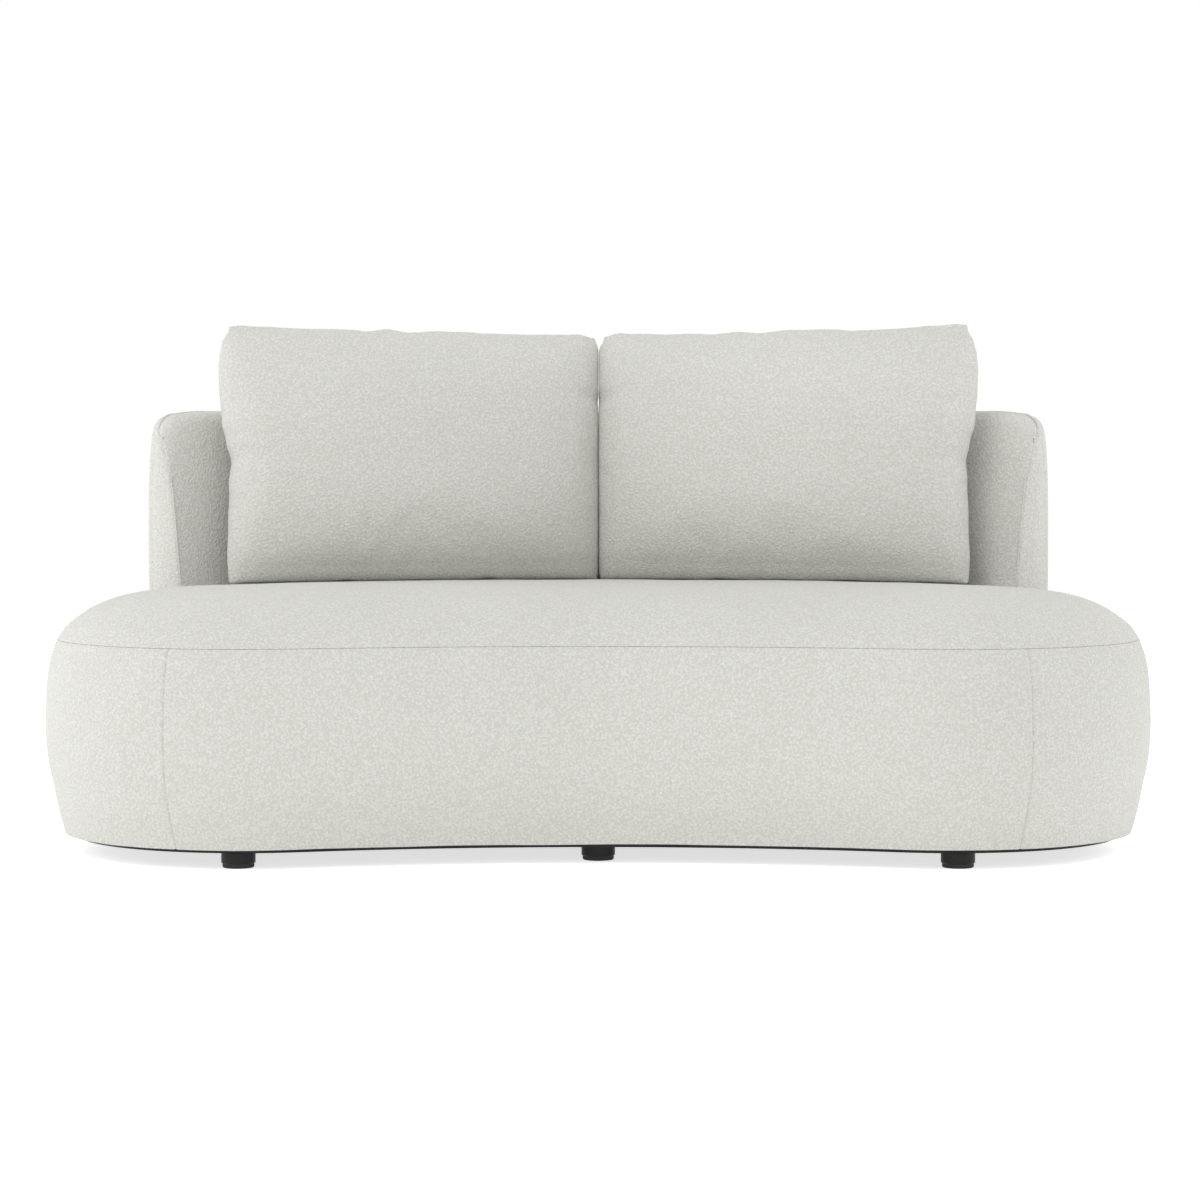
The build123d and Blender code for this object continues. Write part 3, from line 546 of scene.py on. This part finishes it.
def make_crown():
    """The seat's top panel: rings inward from the seam, and a lens that closes them."""
    rings = [(crown_curve[0][0] + SEAM_TUCK, SEAM_LEVEL - SEAM_OVERLAP)] + crown_curve
    edges = [None] + crown_lengths
    start = crown_curve[-1][0]
    for step in range(1, RING_COUNT + 1):
        share = step / RING_COUNT
        rings.append((start + (MEDIAL_INSET - start) * share, SEAT_LEVEL + DOME * (1 - (1 - share) ** 2)))
        edges.append(crown_lengths[-1])
    mesh = bmesh.new()
    rows = []
    for inset, level in rings:
        rows.append([mesh.verts.new(p) for p in loop_row(inset, level)])
    count = len(rows[0])
    for low, high in zip(rows, rows[1:]):
        for c in range(count):
            mesh.faces.new((low[c], low[(c + 1) % count], high[(c + 1) % count], high[c]))
    # The lens between the last ring's rear and front stretches
    last = rows[-1]
    left_first = LOOP_COLUMNS["rear"]
    front_first = left_first + LOOP_COLUMNS["left"]
    right_first = front_first + LOOP_COLUMNS["front"]
    rear_row = last[:left_first + 1]
    front_row = last[front_first:right_first + 1][::-1]
    grid = [rear_row]
    for step in range(1, LENS_STEPS):
        share = step / LENS_STEPS
        grid.append([mesh.verts.new(a.co.lerp(b.co, share)) for a, b in zip(rear_row, front_row)])
    grid.append(front_row)
    for low, high in zip(grid, grid[1:]):
        for c in range(len(low) - 1):
            mesh.faces.new((low[c], low[c + 1], high[c + 1], high[c]))
    left_cap = last[left_first:front_first + 1] + [row[-1] for row in grid[1:-1]][::-1]
    right_cap = last[right_first:] + [last[0]] + [row[0] for row in grid[1:-1]]
    for cap in (left_cap, right_cap):
        mesh.faces.new(cap)
    mesh.normal_update()
    if sum(face.normal.z * face.calc_area() for face in mesh.faces) < 0:
        bmesh.ops.reverse_faces(mesh, faces=mesh.faces[:])
        mesh.normal_update()
    normals = [v.normal.copy() for v in mesh.verts]
    for number, (vertex, normal) in enumerate(zip(mesh.verts, normals)):
        ring = number // count
        edge = edges[ring] if ring < len(edges) else crown_lengths[-1]
        if edge is not None:
            vertex.co -= normal * wavy(CROWN_SEAM * seam_dip(edge), vertex.co, edge)
    result = bpy.data.meshes.new("seat_top_cloth")
    mesh.to_mesh(result)
    mesh.free()
    return result


crown = finish_piece("seat_top_cloth", make_crown(), "sofa", ["seat_top_cover", "seat_wadding", "seat_foam"],
                     wool_boucle, CLOTH)
print("crown", len(crown.data.vertices), "points")

# %% [markdown]
# ## The back
# The back is a bent, padded wall that stands on the rear of the seat. Its section leans back on the
# inside, is upright outside and is round on top. At the ends the outer and top edges are round, while
# the inner corner is crisp, because the flat end panel is sewn on there. A section is worked out for
# each angle round the back, and it shrinks by a circle's curve as it comes to the end.

# %% Section of the back
BACK_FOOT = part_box("back_lower_rail")[0].z
BACK_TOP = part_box("back_foam")[1].z + COVER
BACK_OUTER = rear_radius - 0.0197
BACK_INNER = BACK_OUTER - 0.137
BACK_LEAN = math.tan(math.radians(8))
BACK_HALF_ANGLE = math.radians(42.55)
TOP_ROUND = 0.038
TOP_EASE = 0.005
END_ROUND = 0.040
BACK_STEPS = 46
END_DROP = 0.013
DROP_REACH = 0.120
LOWER_RISE = 0.13
UPPER_RISE = 0.25
TOP_FLAT = 0.010


def back_section(shrink):
    """(radius, level) points of the outer and the inner half, each from foot to the middle of the top."""
    top = BACK_TOP - shrink
    start = BACK_TOP - TOP_ROUND
    outer_top = BACK_OUTER - TOP_EASE - shrink
    inner_top = BACK_INNER + (start - BACK_FOOT) * BACK_LEAN
    middle = (outer_top + inner_top) / 2
    outer = [(BACK_OUTER - shrink, BACK_FOOT, 0),
             (BACK_OUTER - shrink, BACK_FOOT + LOWER_RISE, 0),
             (BACK_OUTER - 0.001 - shrink, BACK_FOOT + UPPER_RISE, 0),
             (outer_top - 0.002, start - 0.012 - shrink, 0),
             (outer_top - TOP_ROUND * 0.29, top - TOP_ROUND * 0.29, 0),
             (middle + TOP_FLAT, top - 0.001, 0),
             (middle, top, 0)]
    inner = [(BACK_INNER, BACK_FOOT, 0),
             (BACK_INNER + LOWER_RISE * BACK_LEAN, BACK_FOOT + LOWER_RISE, 0),
             (BACK_INNER + UPPER_RISE * BACK_LEAN, BACK_FOOT + UPPER_RISE, 0),
             (inner_top + 0.001, start - 0.008 - shrink, 0),
             (inner_top + TOP_ROUND * 0.31, top - TOP_ROUND * 0.27, 0),
             (middle - TOP_FLAT, top - 0.001, 0),
             (middle, top, 0)]
    return smooth_curve(outer, BACK_STEPS)[0], smooth_curve(inner, BACK_STEPS)[0]


def back_point(radius, angle, level):
    """A point of the back, at an angle that is 0 in the middle of the sofa."""
    return Vector((radius * math.sin(angle), rear_centre + radius * math.cos(angle), level))


def back_lift(level):
    """How much of a drop at the top a level of the back takes part in."""
    return max((level - BACK_FOOT) / (BACK_TOP - BACK_FOOT), 0) ** 3


def end_drop(depth):
    """How far the top has eased down at a depth from the end, before its corner rounds."""
    share = min(max(depth / DROP_REACH, 0), 1)
    return END_DROP * (1 - share) ** 2


def end_shrink(depth):
    """How far the outer and top faces have come in at a depth from the end's plane."""
    if depth >= END_ROUND:
        return 0.0
    return END_ROUND - math.sqrt(max(END_ROUND**2 - (END_ROUND - depth) ** 2, 0))


# %% [markdown]
# The back's cloth is four panels: the inner and outer ones meet along the top, and an end panel closes
# each end and wraps round to the outer corner. The angles crowd into the last few centimetres, where the
# ends round off.

# %% Make the back's panels
END_COLUMNS = 12
TOP_SEAM = 0.6


def make_long_panel(outer_side):
    """The back's outer or inner panel, from end to end and from its foot to the middle of the top."""
    reach = BACK_OUTER if outer_side else BACK_INNER
    last_depth = END_ROUND if outer_side else 0.0
    span = BACK_HALF_ANGLE - last_depth / reach
    angles = [place / reach - span for place in spread(2 * span * reach)]
    depths = [(BACK_HALF_ANGLE - abs(angle)) * reach for angle in angles]
    sections = [back_section(end_shrink(depth))[0 if outer_side else 1] for depth in depths]
    rows, dips = [], []
    for index in range(BACK_STEPS):
        row, dip = [], []
        for angle, depth, section in zip(angles, depths, sections):
            radius, level = section[index].x, section[index].y
            row.append(back_point(radius, angle, level - end_drop(depth) * back_lift(level)))
            edge = (span - abs(angle)) * reach
            top_edge = abs(section[-1].x - radius) + abs(section[-1].y - level)
            foot_dip = seam_dip(level - BACK_FOOT) if outer_side else 0
            valleys = (seam_dip(edge), TOP_SEAM * seam_dip(top_edge), foot_dip)
            dip.append(wavy(max(valleys), row[-1], min(edge, top_edge)))
        rows.append(row if outer_side else row[::-1])
        dips.append(dip if outer_side else dip[::-1])
    name = "back_outer_cloth" if outer_side else "back_inner_cloth"
    mesh = make_sheet(name, rows, dips)
    flip_to_outside(mesh, Vector((0, rear_centre, 0)), outer_side)
    return name, mesh


def flip_to_outside(mesh, centre, away):
    """Turns the faces over if they look the wrong way from a centre line."""
    votes = 0
    for polygon in mesh.polygons:
        flat = polygon.center - centre
        flat.z = 0
        votes += 1 if (polygon.normal.dot(flat) > 0) == away else -1
    if votes < 0:
        mesh.flip_normals()


for outer_side, nodes in ((True, ["back_outer_cover"]), (False, ["back_inner_cover", "back_foam"])):
    name, mesh = make_long_panel(outer_side)
    panel = finish_piece(name, mesh, "sofa", nodes, wool_boucle, CLOTH)
    print(name, len(mesh.vertices), "points")

# %% [markdown]
# The end panel starts flat at the crisp inner corner, is slightly full in the middle, and then turns
# over the rounded outer corner and top.

# %% Make the end panels
CAP_STEPS = 22
CAP_FULL = 0.006
CAP_SHRINK = END_ROUND * 0.98
CAP_START = 0.0004
CAP_FADE = 0.06
SEAM_FADE = 0.05
WELD = 0.0012


def weld(mesh):
    """Joins points that lie almost on each other, as they do where rows run together at the top."""
    work = bmesh.new()
    work.from_mesh(mesh)
    bmesh.ops.remove_doubles(work, verts=work.verts, dist=WELD)
    bmesh.ops.dissolve_degenerate(work, edges=work.edges, dist=WELD / 4)
    work.to_mesh(mesh)
    work.free()


def make_end_panel(side):
    """The panel that closes one end of the back and turns over its rounded outer corner."""
    cap_outer = back_section(CAP_SHRINK)[0]
    cap_inner = back_section(end_shrink(CAP_START))[1]
    rows, dips = [], []
    for outer, inner, index in zip(cap_outer, cap_inner, range(BACK_STEPS)):
        row, dip = [], []
        for step in range(CAP_STEPS):
            share = step / (CAP_STEPS - 1)
            radius = inner.x + (outer.x - inner.x) * share
            level = inner.y + (outer.y - inner.y) * share
            swell = CAP_FULL * math.sin(math.pi * share) ** 0.8 * min((BACK_TOP - level) / CAP_FADE, 1)
            turn = side * (BACK_HALF_ANGLE + swell / BACK_OUTER)
            row.append(back_point(radius, turn, level - END_DROP * back_lift(level)))
            edge = (outer - inner).length
            dip.append(wavy(seam_dip(edge * share) * min(edge / SEAM_FADE, 1), row[-1], edge * share))
        for step in range(1, END_COLUMNS + 1):
            depth = END_ROUND * (1 - math.cos(step / END_COLUMNS * math.pi / 2))
            section = back_section(end_shrink(depth))[0][index]
            level = section.y - end_drop(depth) * back_lift(section.y)
            row.append(back_point(section.x, side * (BACK_HALF_ANGLE - depth / BACK_OUTER), level))
            dip.append(wavy(seam_dip(END_ROUND - depth), row[-1], END_ROUND - depth))
        rows.append(row)
        dips.append(dip)
    name = f"back_{'left' if side < 0 else 'right'}_cloth"
    mesh = make_sheet(name, rows, [[None] * len(row) for row in rows])
    middle = back_point((BACK_INNER + BACK_OUTER) / 2, side * (BACK_HALF_ANGLE - 0.1), 0)
    flip_to_outside(mesh, middle, True)
    mesh.update()
    normals = [v.normal.copy() for v in mesh.vertices]
    for vertex, normal, amount in zip(mesh.vertices, normals, [d for row in dips for d in row]):
        vertex.co -= normal * amount
    weld(mesh)
    return name, mesh


for side in (-1, 1):
    name, mesh = make_end_panel(side)
    cover = name.replace("cloth", "cover")
    panel = finish_piece(name, mesh, "sofa", [cover], wool_boucle, CLOTH)
    print(name, len(mesh.vertices), "points")

# %% [markdown]
# ## The loose cushions
# A pillow is two flat panels sewn together and filled. Filling a flat bag draws its sides in between the
# corners and gathers small puckers along the seam, which no formula gives as well as cloth simulation
# does. So the bag starts flat, a little larger than the finished pillow, is blown up gently, and is then
# set to the outline of the real one and laid in its place.

# %% Sew a bag
BAG_WIDTH = 0.780
BAG_HEIGHT = 0.545
BAG_CORNER = 0.034
BAG_COLUMNS = 104
BAG_ROWS = 74
BAG_RISE = 0.012
BAG_SKIN = 0.001
BAG_JITTER = 0.0014


def square_to_bag(u, v):
    """A point of the flat bag from shares u and v between -1 and 1, with its corners rounded."""
    x, y = u * BAG_WIDTH / 2, v * BAG_HEIGHT / 2
    corner_x, corner_y = BAG_WIDTH / 2 - BAG_CORNER, BAG_HEIGHT / 2 - BAG_CORNER
    if abs(x) > corner_x and abs(y) > corner_y:
        dx, dy = (abs(x) - corner_x) / BAG_CORNER, (abs(y) - corner_y) / BAG_CORNER
        largest, length = max(dx, dy), math.hypot(dx, dy)
        x = math.copysign(corner_x + BAG_CORNER * dx * largest / length, x)
        y = math.copysign(corner_y + BAG_CORNER * dy * largest / length, y)
    return x, y


def make_bag(seed):
    """The flat bag, a front and a rear grid that share their border, and where each point lies on it."""
    mesh = bmesh.new()
    border, places = {}, []
    offset = Vector((seed * 3.7, seed * 1.3, 0))
    for face in (-1, 1):
        grid = []
        for r in range(BAG_ROWS + 1):
            row = []
            for c in range(BAG_COLUMNS + 1):
                on_border = r in (0, BAG_ROWS) or c in (0, BAG_COLUMNS)
                if on_border and (r, c) in border:
                    row.append(border[r, c])
                    continue
                u, v = 2 * c / BAG_COLUMNS - 1, 2 * r / BAG_ROWS - 1
                x, y = square_to_bag(u, v)
                rise = 0.0 if on_border else BAG_RISE * (1 - u**4) * (1 - v**4) + BAG_SKIN
                jitter = BAG_JITTER * noise.noise(Vector((x, y, face)) * 24 + offset)
                vertex = mesh.verts.new((x, y, face * rise + jitter))
                places.append((r, c, face))
                if on_border:
                    border[r, c] = vertex
                row.append(vertex)
            grid.append(row)
        for r in range(BAG_ROWS):
            for c in range(BAG_COLUMNS):
                corners = (grid[r][c], grid[r][c + 1], grid[r + 1][c + 1], grid[r + 1][c])
                mesh.faces.new(corners if face > 0 else corners[::-1])
    result = bpy.data.meshes.new("bag")
    mesh.to_mesh(result)
    mesh.free()
    return result, places


print("a bag of", (BAG_COLUMNS + 1) * (BAG_ROWS + 1) * 2, "points")

# %% [markdown]
# Filling is the pressure of the cloth simulation, with gravity off. The simulation is stopped while the
# cloth still moves a little, and its last shape is kept as a plain mesh.

# %% Fill a bag
FILL_PRESSURE = 7.0
FILL_FRAMES = 34


def fill_bag(seed):
    """The filled bag, by cloth simulation."""
    mesh, places = make_bag(seed)
    bag = bpy.data.objects.new("bag", mesh)
    bpy.context.collection.objects.link(bag)
    cloth = bag.modifiers.new("fill", "CLOTH")
    settings = cloth.settings
    settings.quality = 6
    settings.mass = 0.35
    settings.tension_stiffness = 40
    settings.compression_stiffness = 40
    settings.shear_stiffness = 12
    settings.bending_stiffness = 3.0
    settings.use_pressure = True
    settings.uniform_pressure_force = FILL_PRESSURE
    settings.effector_weights.gravity = 0.0
    settings.air_damping = 4.0
    cloth.point_cache.frame_start = 1
    cloth.point_cache.frame_end = FILL_FRAMES
    scene = bpy.context.scene
    for step in range(1, FILL_FRAMES + 1):
        scene.frame_set(step)
    graph = bpy.context.evaluated_depsgraph_get()
    filled = bpy.data.meshes.new_from_object(bag.evaluated_get(graph))
    bpy.data.objects.remove(bag)
    scene.frame_set(1)
    return filled, places


# %% [markdown]
# Straight from the simulation, a bag's sides are drawn in evenly and its folds are heavy. The real
# pillows stand on their lower edge and lean on each other, so each side has a line of its own. Those
# lines are read at shares of the height or the width, and every row and column of the cloth is stretched
# to end on them. Most of the folds' size is taken out, and how full the pillow is follows a smooth form,
# on which what is left of the folds stands.

# %% Fit a pillow to its outline
YAW = math.radians(17.5)
LEAN = math.radians(9)
PILLOW_HALF = 0.356
CORNER_OUT = 0.003
CORNER_REAR = 0.268
MIDDLE_OUT = CORNER_OUT + PILLOW_HALF * math.cos(YAW)
MIDDLE_REAR = CORNER_REAR - PILLOW_HALF * math.sin(YAW)
FRONT_DEPTH = 0.106
REAR_DEPTH = 0.080
# (share of the height, metres from the pillow's middle) up the outer side
OUTER_SIDE = [(0.0, 0.333), (0.10, 0.336), (0.25, 0.333), (0.40, 0.330), (0.48, 0.3255), (0.55, 0.332),
              (0.64, 0.340), (0.76, 0.341), (0.84, 0.3405), (0.90, 0.336), (0.95, 0.329), (1.0, 0.317)]
# (share of the height, metres between the inner side and the middle plane that the two pillows share)
# Less than nothing is where they press on each other
INNER_GAP = [(0.0, 0.004), (0.10, -0.003), (0.68, -0.004), (0.735, 0.0022), (0.79, -0.004), (0.92, -0.004),
             (0.96, 0.001), (1.0, 0.010)]
# (share of the width from the outer side, metres above the pillow's foot) along the top
TOP_SIDE = [(0.0, 0.461), (0.04, 0.4625), (0.12, 0.4655), (0.35, 0.466), (0.6, 0.464), (0.85, 0.459),
            (0.95, 0.4555), (1.0, 0.448)]
# The stuffing settles, so the pillow is fullest below its middle and thins towards its top
BELLY_LEVEL = 0.40
# How much of the simulated folds is kept, in depth and in the outline's plane
FOLD_DEPTH = 0.45
FOLD_PLANE = 0.25
FOLD_REACH = 9
CLEAN_ROWS = 8
SMOOTH_REACH = 7


def read_line(line, share):
    """A value from a line of (share, value) pairs."""
    share = min(max(share, 0.0), 1.0)
    for (a, low), (b, high) in zip(line, line[1:]):
        if share <= b:
            t = (share - a) / (b - a)
            return low + (high - low) * t * t * (3 - 2 * t)
    return line[-1][1]


def fullness(from_outer, up):
    """The pillow's depth as a share of its deepest place."""
    across = max(1 - abs(2 * from_outer - 1) ** 3.2, 0) ** 0.5
    if up < BELLY_LEVEL:
        rise = max(1 - ((BELLY_LEVEL - max(up, 0)) / BELLY_LEVEL) ** 2.0, 0) ** 0.5
    else:
        rise = max(1 - ((min(up, 1) - BELLY_LEVEL) / (1 - BELLY_LEVEL)) ** 2.5, 0) ** 0.62
    return across * rise


def soft_mean(values, index):
    """The mean of the values on both sides of an index."""
    near = values[max(index - SMOOTH_REACH, 0):index + SMOOTH_REACH + 1]
    return sum(near) / len(near)


def smooth_line(values):
    """Running means of a line of values, carried on past both ends as if turned round them."""
    last = len(values) - 1
    before = [2 * values[0] - values[k] for k in range(FOLD_REACH, 0, -1)]
    after = [2 * values[last] - values[last - k] for k in range(1, FOLD_REACH + 1)]
    wide = before + values + after
    total, result = sum(wide[:2 * FOLD_REACH + 1]), []
    for index in range(last + 1):
        result.append(total / (2 * FOLD_REACH + 1))
        if index < last:
            total += wide[index + 2 * FOLD_REACH + 1] - wide[index]
    return result


def smooth_grid(grid):
    """The grid of one face's values, evened out along its rows and then along its columns, twice."""
    for _ in range(2):
        grid = [smooth_line(row) for row in grid]
        grid = [list(row) for row in zip(*[smooth_line(list(column)) for column in zip(*grid)])]
    return grid


def measure_pillow(mesh, places):
    """For each face, grids of how far across, how far up and how deep each point of the filled bag is."""
    spots = {}
    for (r, c, face), vertex in zip(places, mesh.vertices):
        spots[r, c, face] = vertex.co
        if r in (0, BAG_ROWS) or c in (0, BAG_COLUMNS):
            spots[r, c, -face] = vertex.co
    rows = range(CLEAN_ROWS, BAG_ROWS - CLEAN_ROWS + 1)
    columns = range(CLEAN_ROWS, BAG_COLUMNS - CLEAN_ROWS + 1)
    lefts = [spots[r, 0, -1].x for r in rows]
    rights = [spots[r, BAG_COLUMNS, -1].x for r in rows]
    bottoms = [spots[0, c, -1].y for c in columns]
    tops = [spots[BAG_ROWS, c, -1].y for c in columns]
    fields = {}
    for face in (-1, 1):
        deepest = max(abs(spots[r, c, face].z) for r in rows for c in columns)
        across, up, deep = [], [], []
        for r in range(BAG_ROWS + 1):
            row = min(max(r - CLEAN_ROWS, 0), len(rows) - 1)
            left, right = soft_mean(lefts, row), soft_mean(rights, row)
            across.append([(spots[r, c, face].x - left) / (right - left) for c in range(BAG_COLUMNS + 1)])
            deep.append([spots[r, c, face].z / deepest for c in range(BAG_COLUMNS + 1)])
            up.append([])
            for c in range(BAG_COLUMNS + 1):
                column = min(max(c - CLEAN_ROWS, 0), len(columns) - 1)
                low, high = soft_mean(bottoms, column), soft_mean(tops, column)
                up[-1].append((spots[r, c, face].y - low) / (high - low))
        fields[face] = (across, up, deep)
    return fields


def fit_pillow(mesh, places, side):
    """Stretches the filled bag to the outline: x along the width, y up, z to the front, in metres."""
    fields = measure_pillow(mesh, places)
    calm = {face: [smooth_grid(grid) for grid in grids] for face, grids in fields.items()}
    for (r, c, face), vertex in zip(places, mesh.vertices):
        across, up, deep = (grid[r][c] for grid in fields[face])
        calm_across, calm_up, calm_deep = (grid[r][c] for grid in calm[face])
        across = calm_across + (across - calm_across) * FOLD_PLANE
        up = calm_up + (up - calm_up) * FOLD_PLANE
        from_outer = across if side < 0 else 1 - across
        height = read_line(TOP_SIDE, from_outer)
        outer = read_line(OUTER_SIDE, up)
        lean_out = min(max(up, 0), 1) * height * math.sin(YAW) * math.sin(LEAN)
        inner = (MIDDLE_OUT + lean_out - read_line(INNER_GAP, up)) / math.cos(YAW)
        reach = -outer + (outer + inner) * from_outer
        most = FRONT_DEPTH if face > 0 else REAR_DEPTH
        z = face * fullness(from_outer, up) * most + (deep - calm_deep) * FOLD_DEPTH * most
        if r in (0, BAG_ROWS) or c in (0, BAG_COLUMNS):
            z = 0.0
        vertex.co = (reach if side < 0 else -reach, up * height, z)
    mesh.update()


# %% [markdown]
# The pillow is laid against the back, and its underside is pressed flat where it stands on the seat. Low
# on its rear panel the cloth is drawn level for the zip's tape, which comes from the frame.

# %% Place a pillow
REST_LEVEL = SEAT_LEVEL + 0.0005
SQUASH_REACH = 0.030
MIDDLE_CLEAR = 0.0003
ZIP_HALF = Vector((0.176, 0.017))
ZIP_REACH = 0.075
ZIP_CLEAR = 0.0007


def place_pillow(mesh, places, side):
    """Lays a fitted pillow in its place, level behind its zip's tape and pressed flat where it touches."""
    along = Vector((math.cos(YAW), -side * math.sin(YAW), 0))
    flat_rear = Vector((side * math.sin(YAW), math.cos(YAW), 0))
    up = flat_rear * math.sin(LEAN) + Vector((0, 0, math.cos(LEAN)))
    rear = up.cross(along)
    middle = Vector((side * MIDDLE_OUT, MIDDLE_REAR, REST_LEVEL))
    for vertex in mesh.vertices:
        x, y, z = vertex.co
        vertex.co = middle + along * x + up * y - rear * z
    # The flat of the zip's tape: its middle, its slope and its inner face, from the node's own mesh
    tape_mesh = frame["nodes"][f"{'left' if side < 0 else 'right'}_zip_tape"].data
    tape = tape_mesh.vertices
    centre = sum((v.co for v in tape), Vector()) / len(tape)
    out = sum((p.normal * p.area for p in tape_mesh.polygons if p.normal.y > 0.5), Vector()).normalized()
    across = out.cross(along)
    inside = min((v.co - centre).dot(out) for v in tape) - ZIP_CLEAR
    for (_, _, face), vertex in zip(places, mesh.vertices):
        if face > 0:
            continue
        offset = vertex.co - centre
        past = Vector((max(abs(offset.dot(along)) - ZIP_HALF.x, 0),
                       max(abs(offset.dot(across)) - ZIP_HALF.y, 0)))
        share = max(1 - past.length / ZIP_REACH, 0)
        share = share * share * (3 - 2 * share)
        vertex.co += out * (inside - offset.dot(out)) * share
    # The two pillows press on each other along the middle, and both on the seat
    for vertex in mesh.vertices:
        if side * vertex.co.x < MIDDLE_CLEAR:
            vertex.co.x = side * MIDDLE_CLEAR
        height = vertex.co.z - REST_LEVEL
        if height < SQUASH_REACH:
            vertex.co.z = REST_LEVEL + max(height, 0) ** 2 / SQUASH_REACH
    mesh.update()


for name, side, seed in (("left", -1, 1), ("right", 1, 2)):
    mesh, places = fill_bag(seed)
    fit_pillow(mesh, places, side)
    place_pillow(mesh, places, side)
    nodes = [f"{name}_cushion_{part}" for part in ("front_cover", "rear_cover", "pad")]
    pillow = finish_piece(f"{name}_pillow", mesh, f"{name}_cushion", nodes, wool_boucle)
    smooth = pillow.modifiers.new("finer", "SUBSURF")
    smooth.levels = smooth.render_levels = 1
    print(name, "pillow", len(mesh.vertices), "points")

# %% [markdown]
# ## Floor and light
# The room is a plain white studio. The floor is a matte sheet with a glow of its own, which the camera
# sees as white but for the sofa's faint shadow, so that the pale cloth stands out by its shading alone.
# A broad lamp high on the left and front models the bellies of the cushions, a low lamp on each side
# lights the ends, and the world fills the rest.

# %% Floor
FLOOR_HALF = 9.0
WHITE = (1, 1, 1, 1)
SEEN_GLOW = 0.7
THROWN_GLOW = 0.27


def seen_directly(tree):
    """1 for what the camera sees, straight or in a gloss or a glass, and 0 for light thrown on things."""
    path = add_node(tree, "ShaderNodeLightPath")
    seen = add_node(tree, "ShaderNodeMath",
                    {0: path.outputs["Is Camera Ray"], 1: path.outputs["Is Glossy Ray"]},
                    operation="MAXIMUM")
    return add_node(tree, "ShaderNodeMath", {0: seen.outputs[0], 1: path.outputs["Is Transmission Ray"]},
                    operation="MAXIMUM").outputs[0]


def make_floor():
    material, tree = new_material("white_studio_paper")
    paper = add_node(tree, "ShaderNodeBsdfDiffuse", values={"Color": linear("#F7F7F6")})
    strength = add_node(tree, "ShaderNodeMapRange", {"Value": seen_directly(tree)},
                        {"To Min": THROWN_GLOW, "To Max": SEEN_GLOW})
    glow = add_node(tree, "ShaderNodeEmission", {"Strength": strength.outputs["Result"]}, {"Color": WHITE})
    lit = add_node(tree, "ShaderNodeAddShader", {0: paper.outputs[0], 1: glow.outputs[0]})
    finish_material(tree, lit)
    mesh = bpy.data.meshes.new("floor")
    corners = [(-FLOOR_HALF, -FLOOR_HALF, 0), (FLOOR_HALF, -FLOOR_HALF, 0), (FLOOR_HALF, FLOOR_HALF, 0),
               (-FLOOR_HALF, FLOOR_HALF, 0)]
    mesh.from_pydata(corners, [], [(0, 1, 2, 3)])
    mesh.materials.append(material)
    floor = bpy.data.objects.new("floor", mesh)
    bpy.context.collection.objects.link(floor)


make_floor()

# %% World and lamps
WORLD_STRENGTH = 0.88
# name: place, target, width and height, watts
LAMPS = {
    "key": ((-3.2, -4.4, 7.4), (0, 0, 0.4), (4.6, 3.6), 195),
    "left_side": ((-3.6, 0.2, 1.0), (-0.9, 0, 0.4), (1.6, 1.6), 17),
    "right_side": ((3.6, 0.2, 1.0), (0.9, 0, 0.4), (1.6, 1.6), 15),
}


def make_world():
    world = bpy.data.worlds.new("studio")
    world.use_nodes = True
    tree = world.node_tree
    tree.nodes.clear()
    fill = add_node(tree, "ShaderNodeBackground", values={"Color": WHITE, "Strength": WORLD_STRENGTH})
    white = add_node(tree, "ShaderNodeBackground", values={"Color": WHITE, "Strength": 1.0})
    mix = add_node(tree, "ShaderNodeMixShader",
                   {0: seen_directly(tree), 1: fill.outputs[0], 2: white.outputs[0]})
    out = tree.nodes.new("ShaderNodeOutputWorld")
    tree.links.new(mix.outputs[0], out.inputs["Surface"])
    bpy.context.scene.world = world


def make_lamp(name, place, target, size, power):
    data = bpy.data.lights.new(name, "AREA")
    data.shape = "RECTANGLE"
    data.size, data.size_y = size
    data.energy = power
    lamp = bpy.data.objects.new(name, data)
    lamp.location = place
    lamp.rotation_euler = (Vector(target) - Vector(place)).to_track_quat("-Z", "Y").to_euler()
    bpy.context.collection.objects.link(lamp)


make_world()
for name, lamp in LAMPS.items():
    make_lamp(name, *lamp)
bpy.context.scene.view_settings.view_transform = "Standard"
print("world", WORLD_STRENGTH)
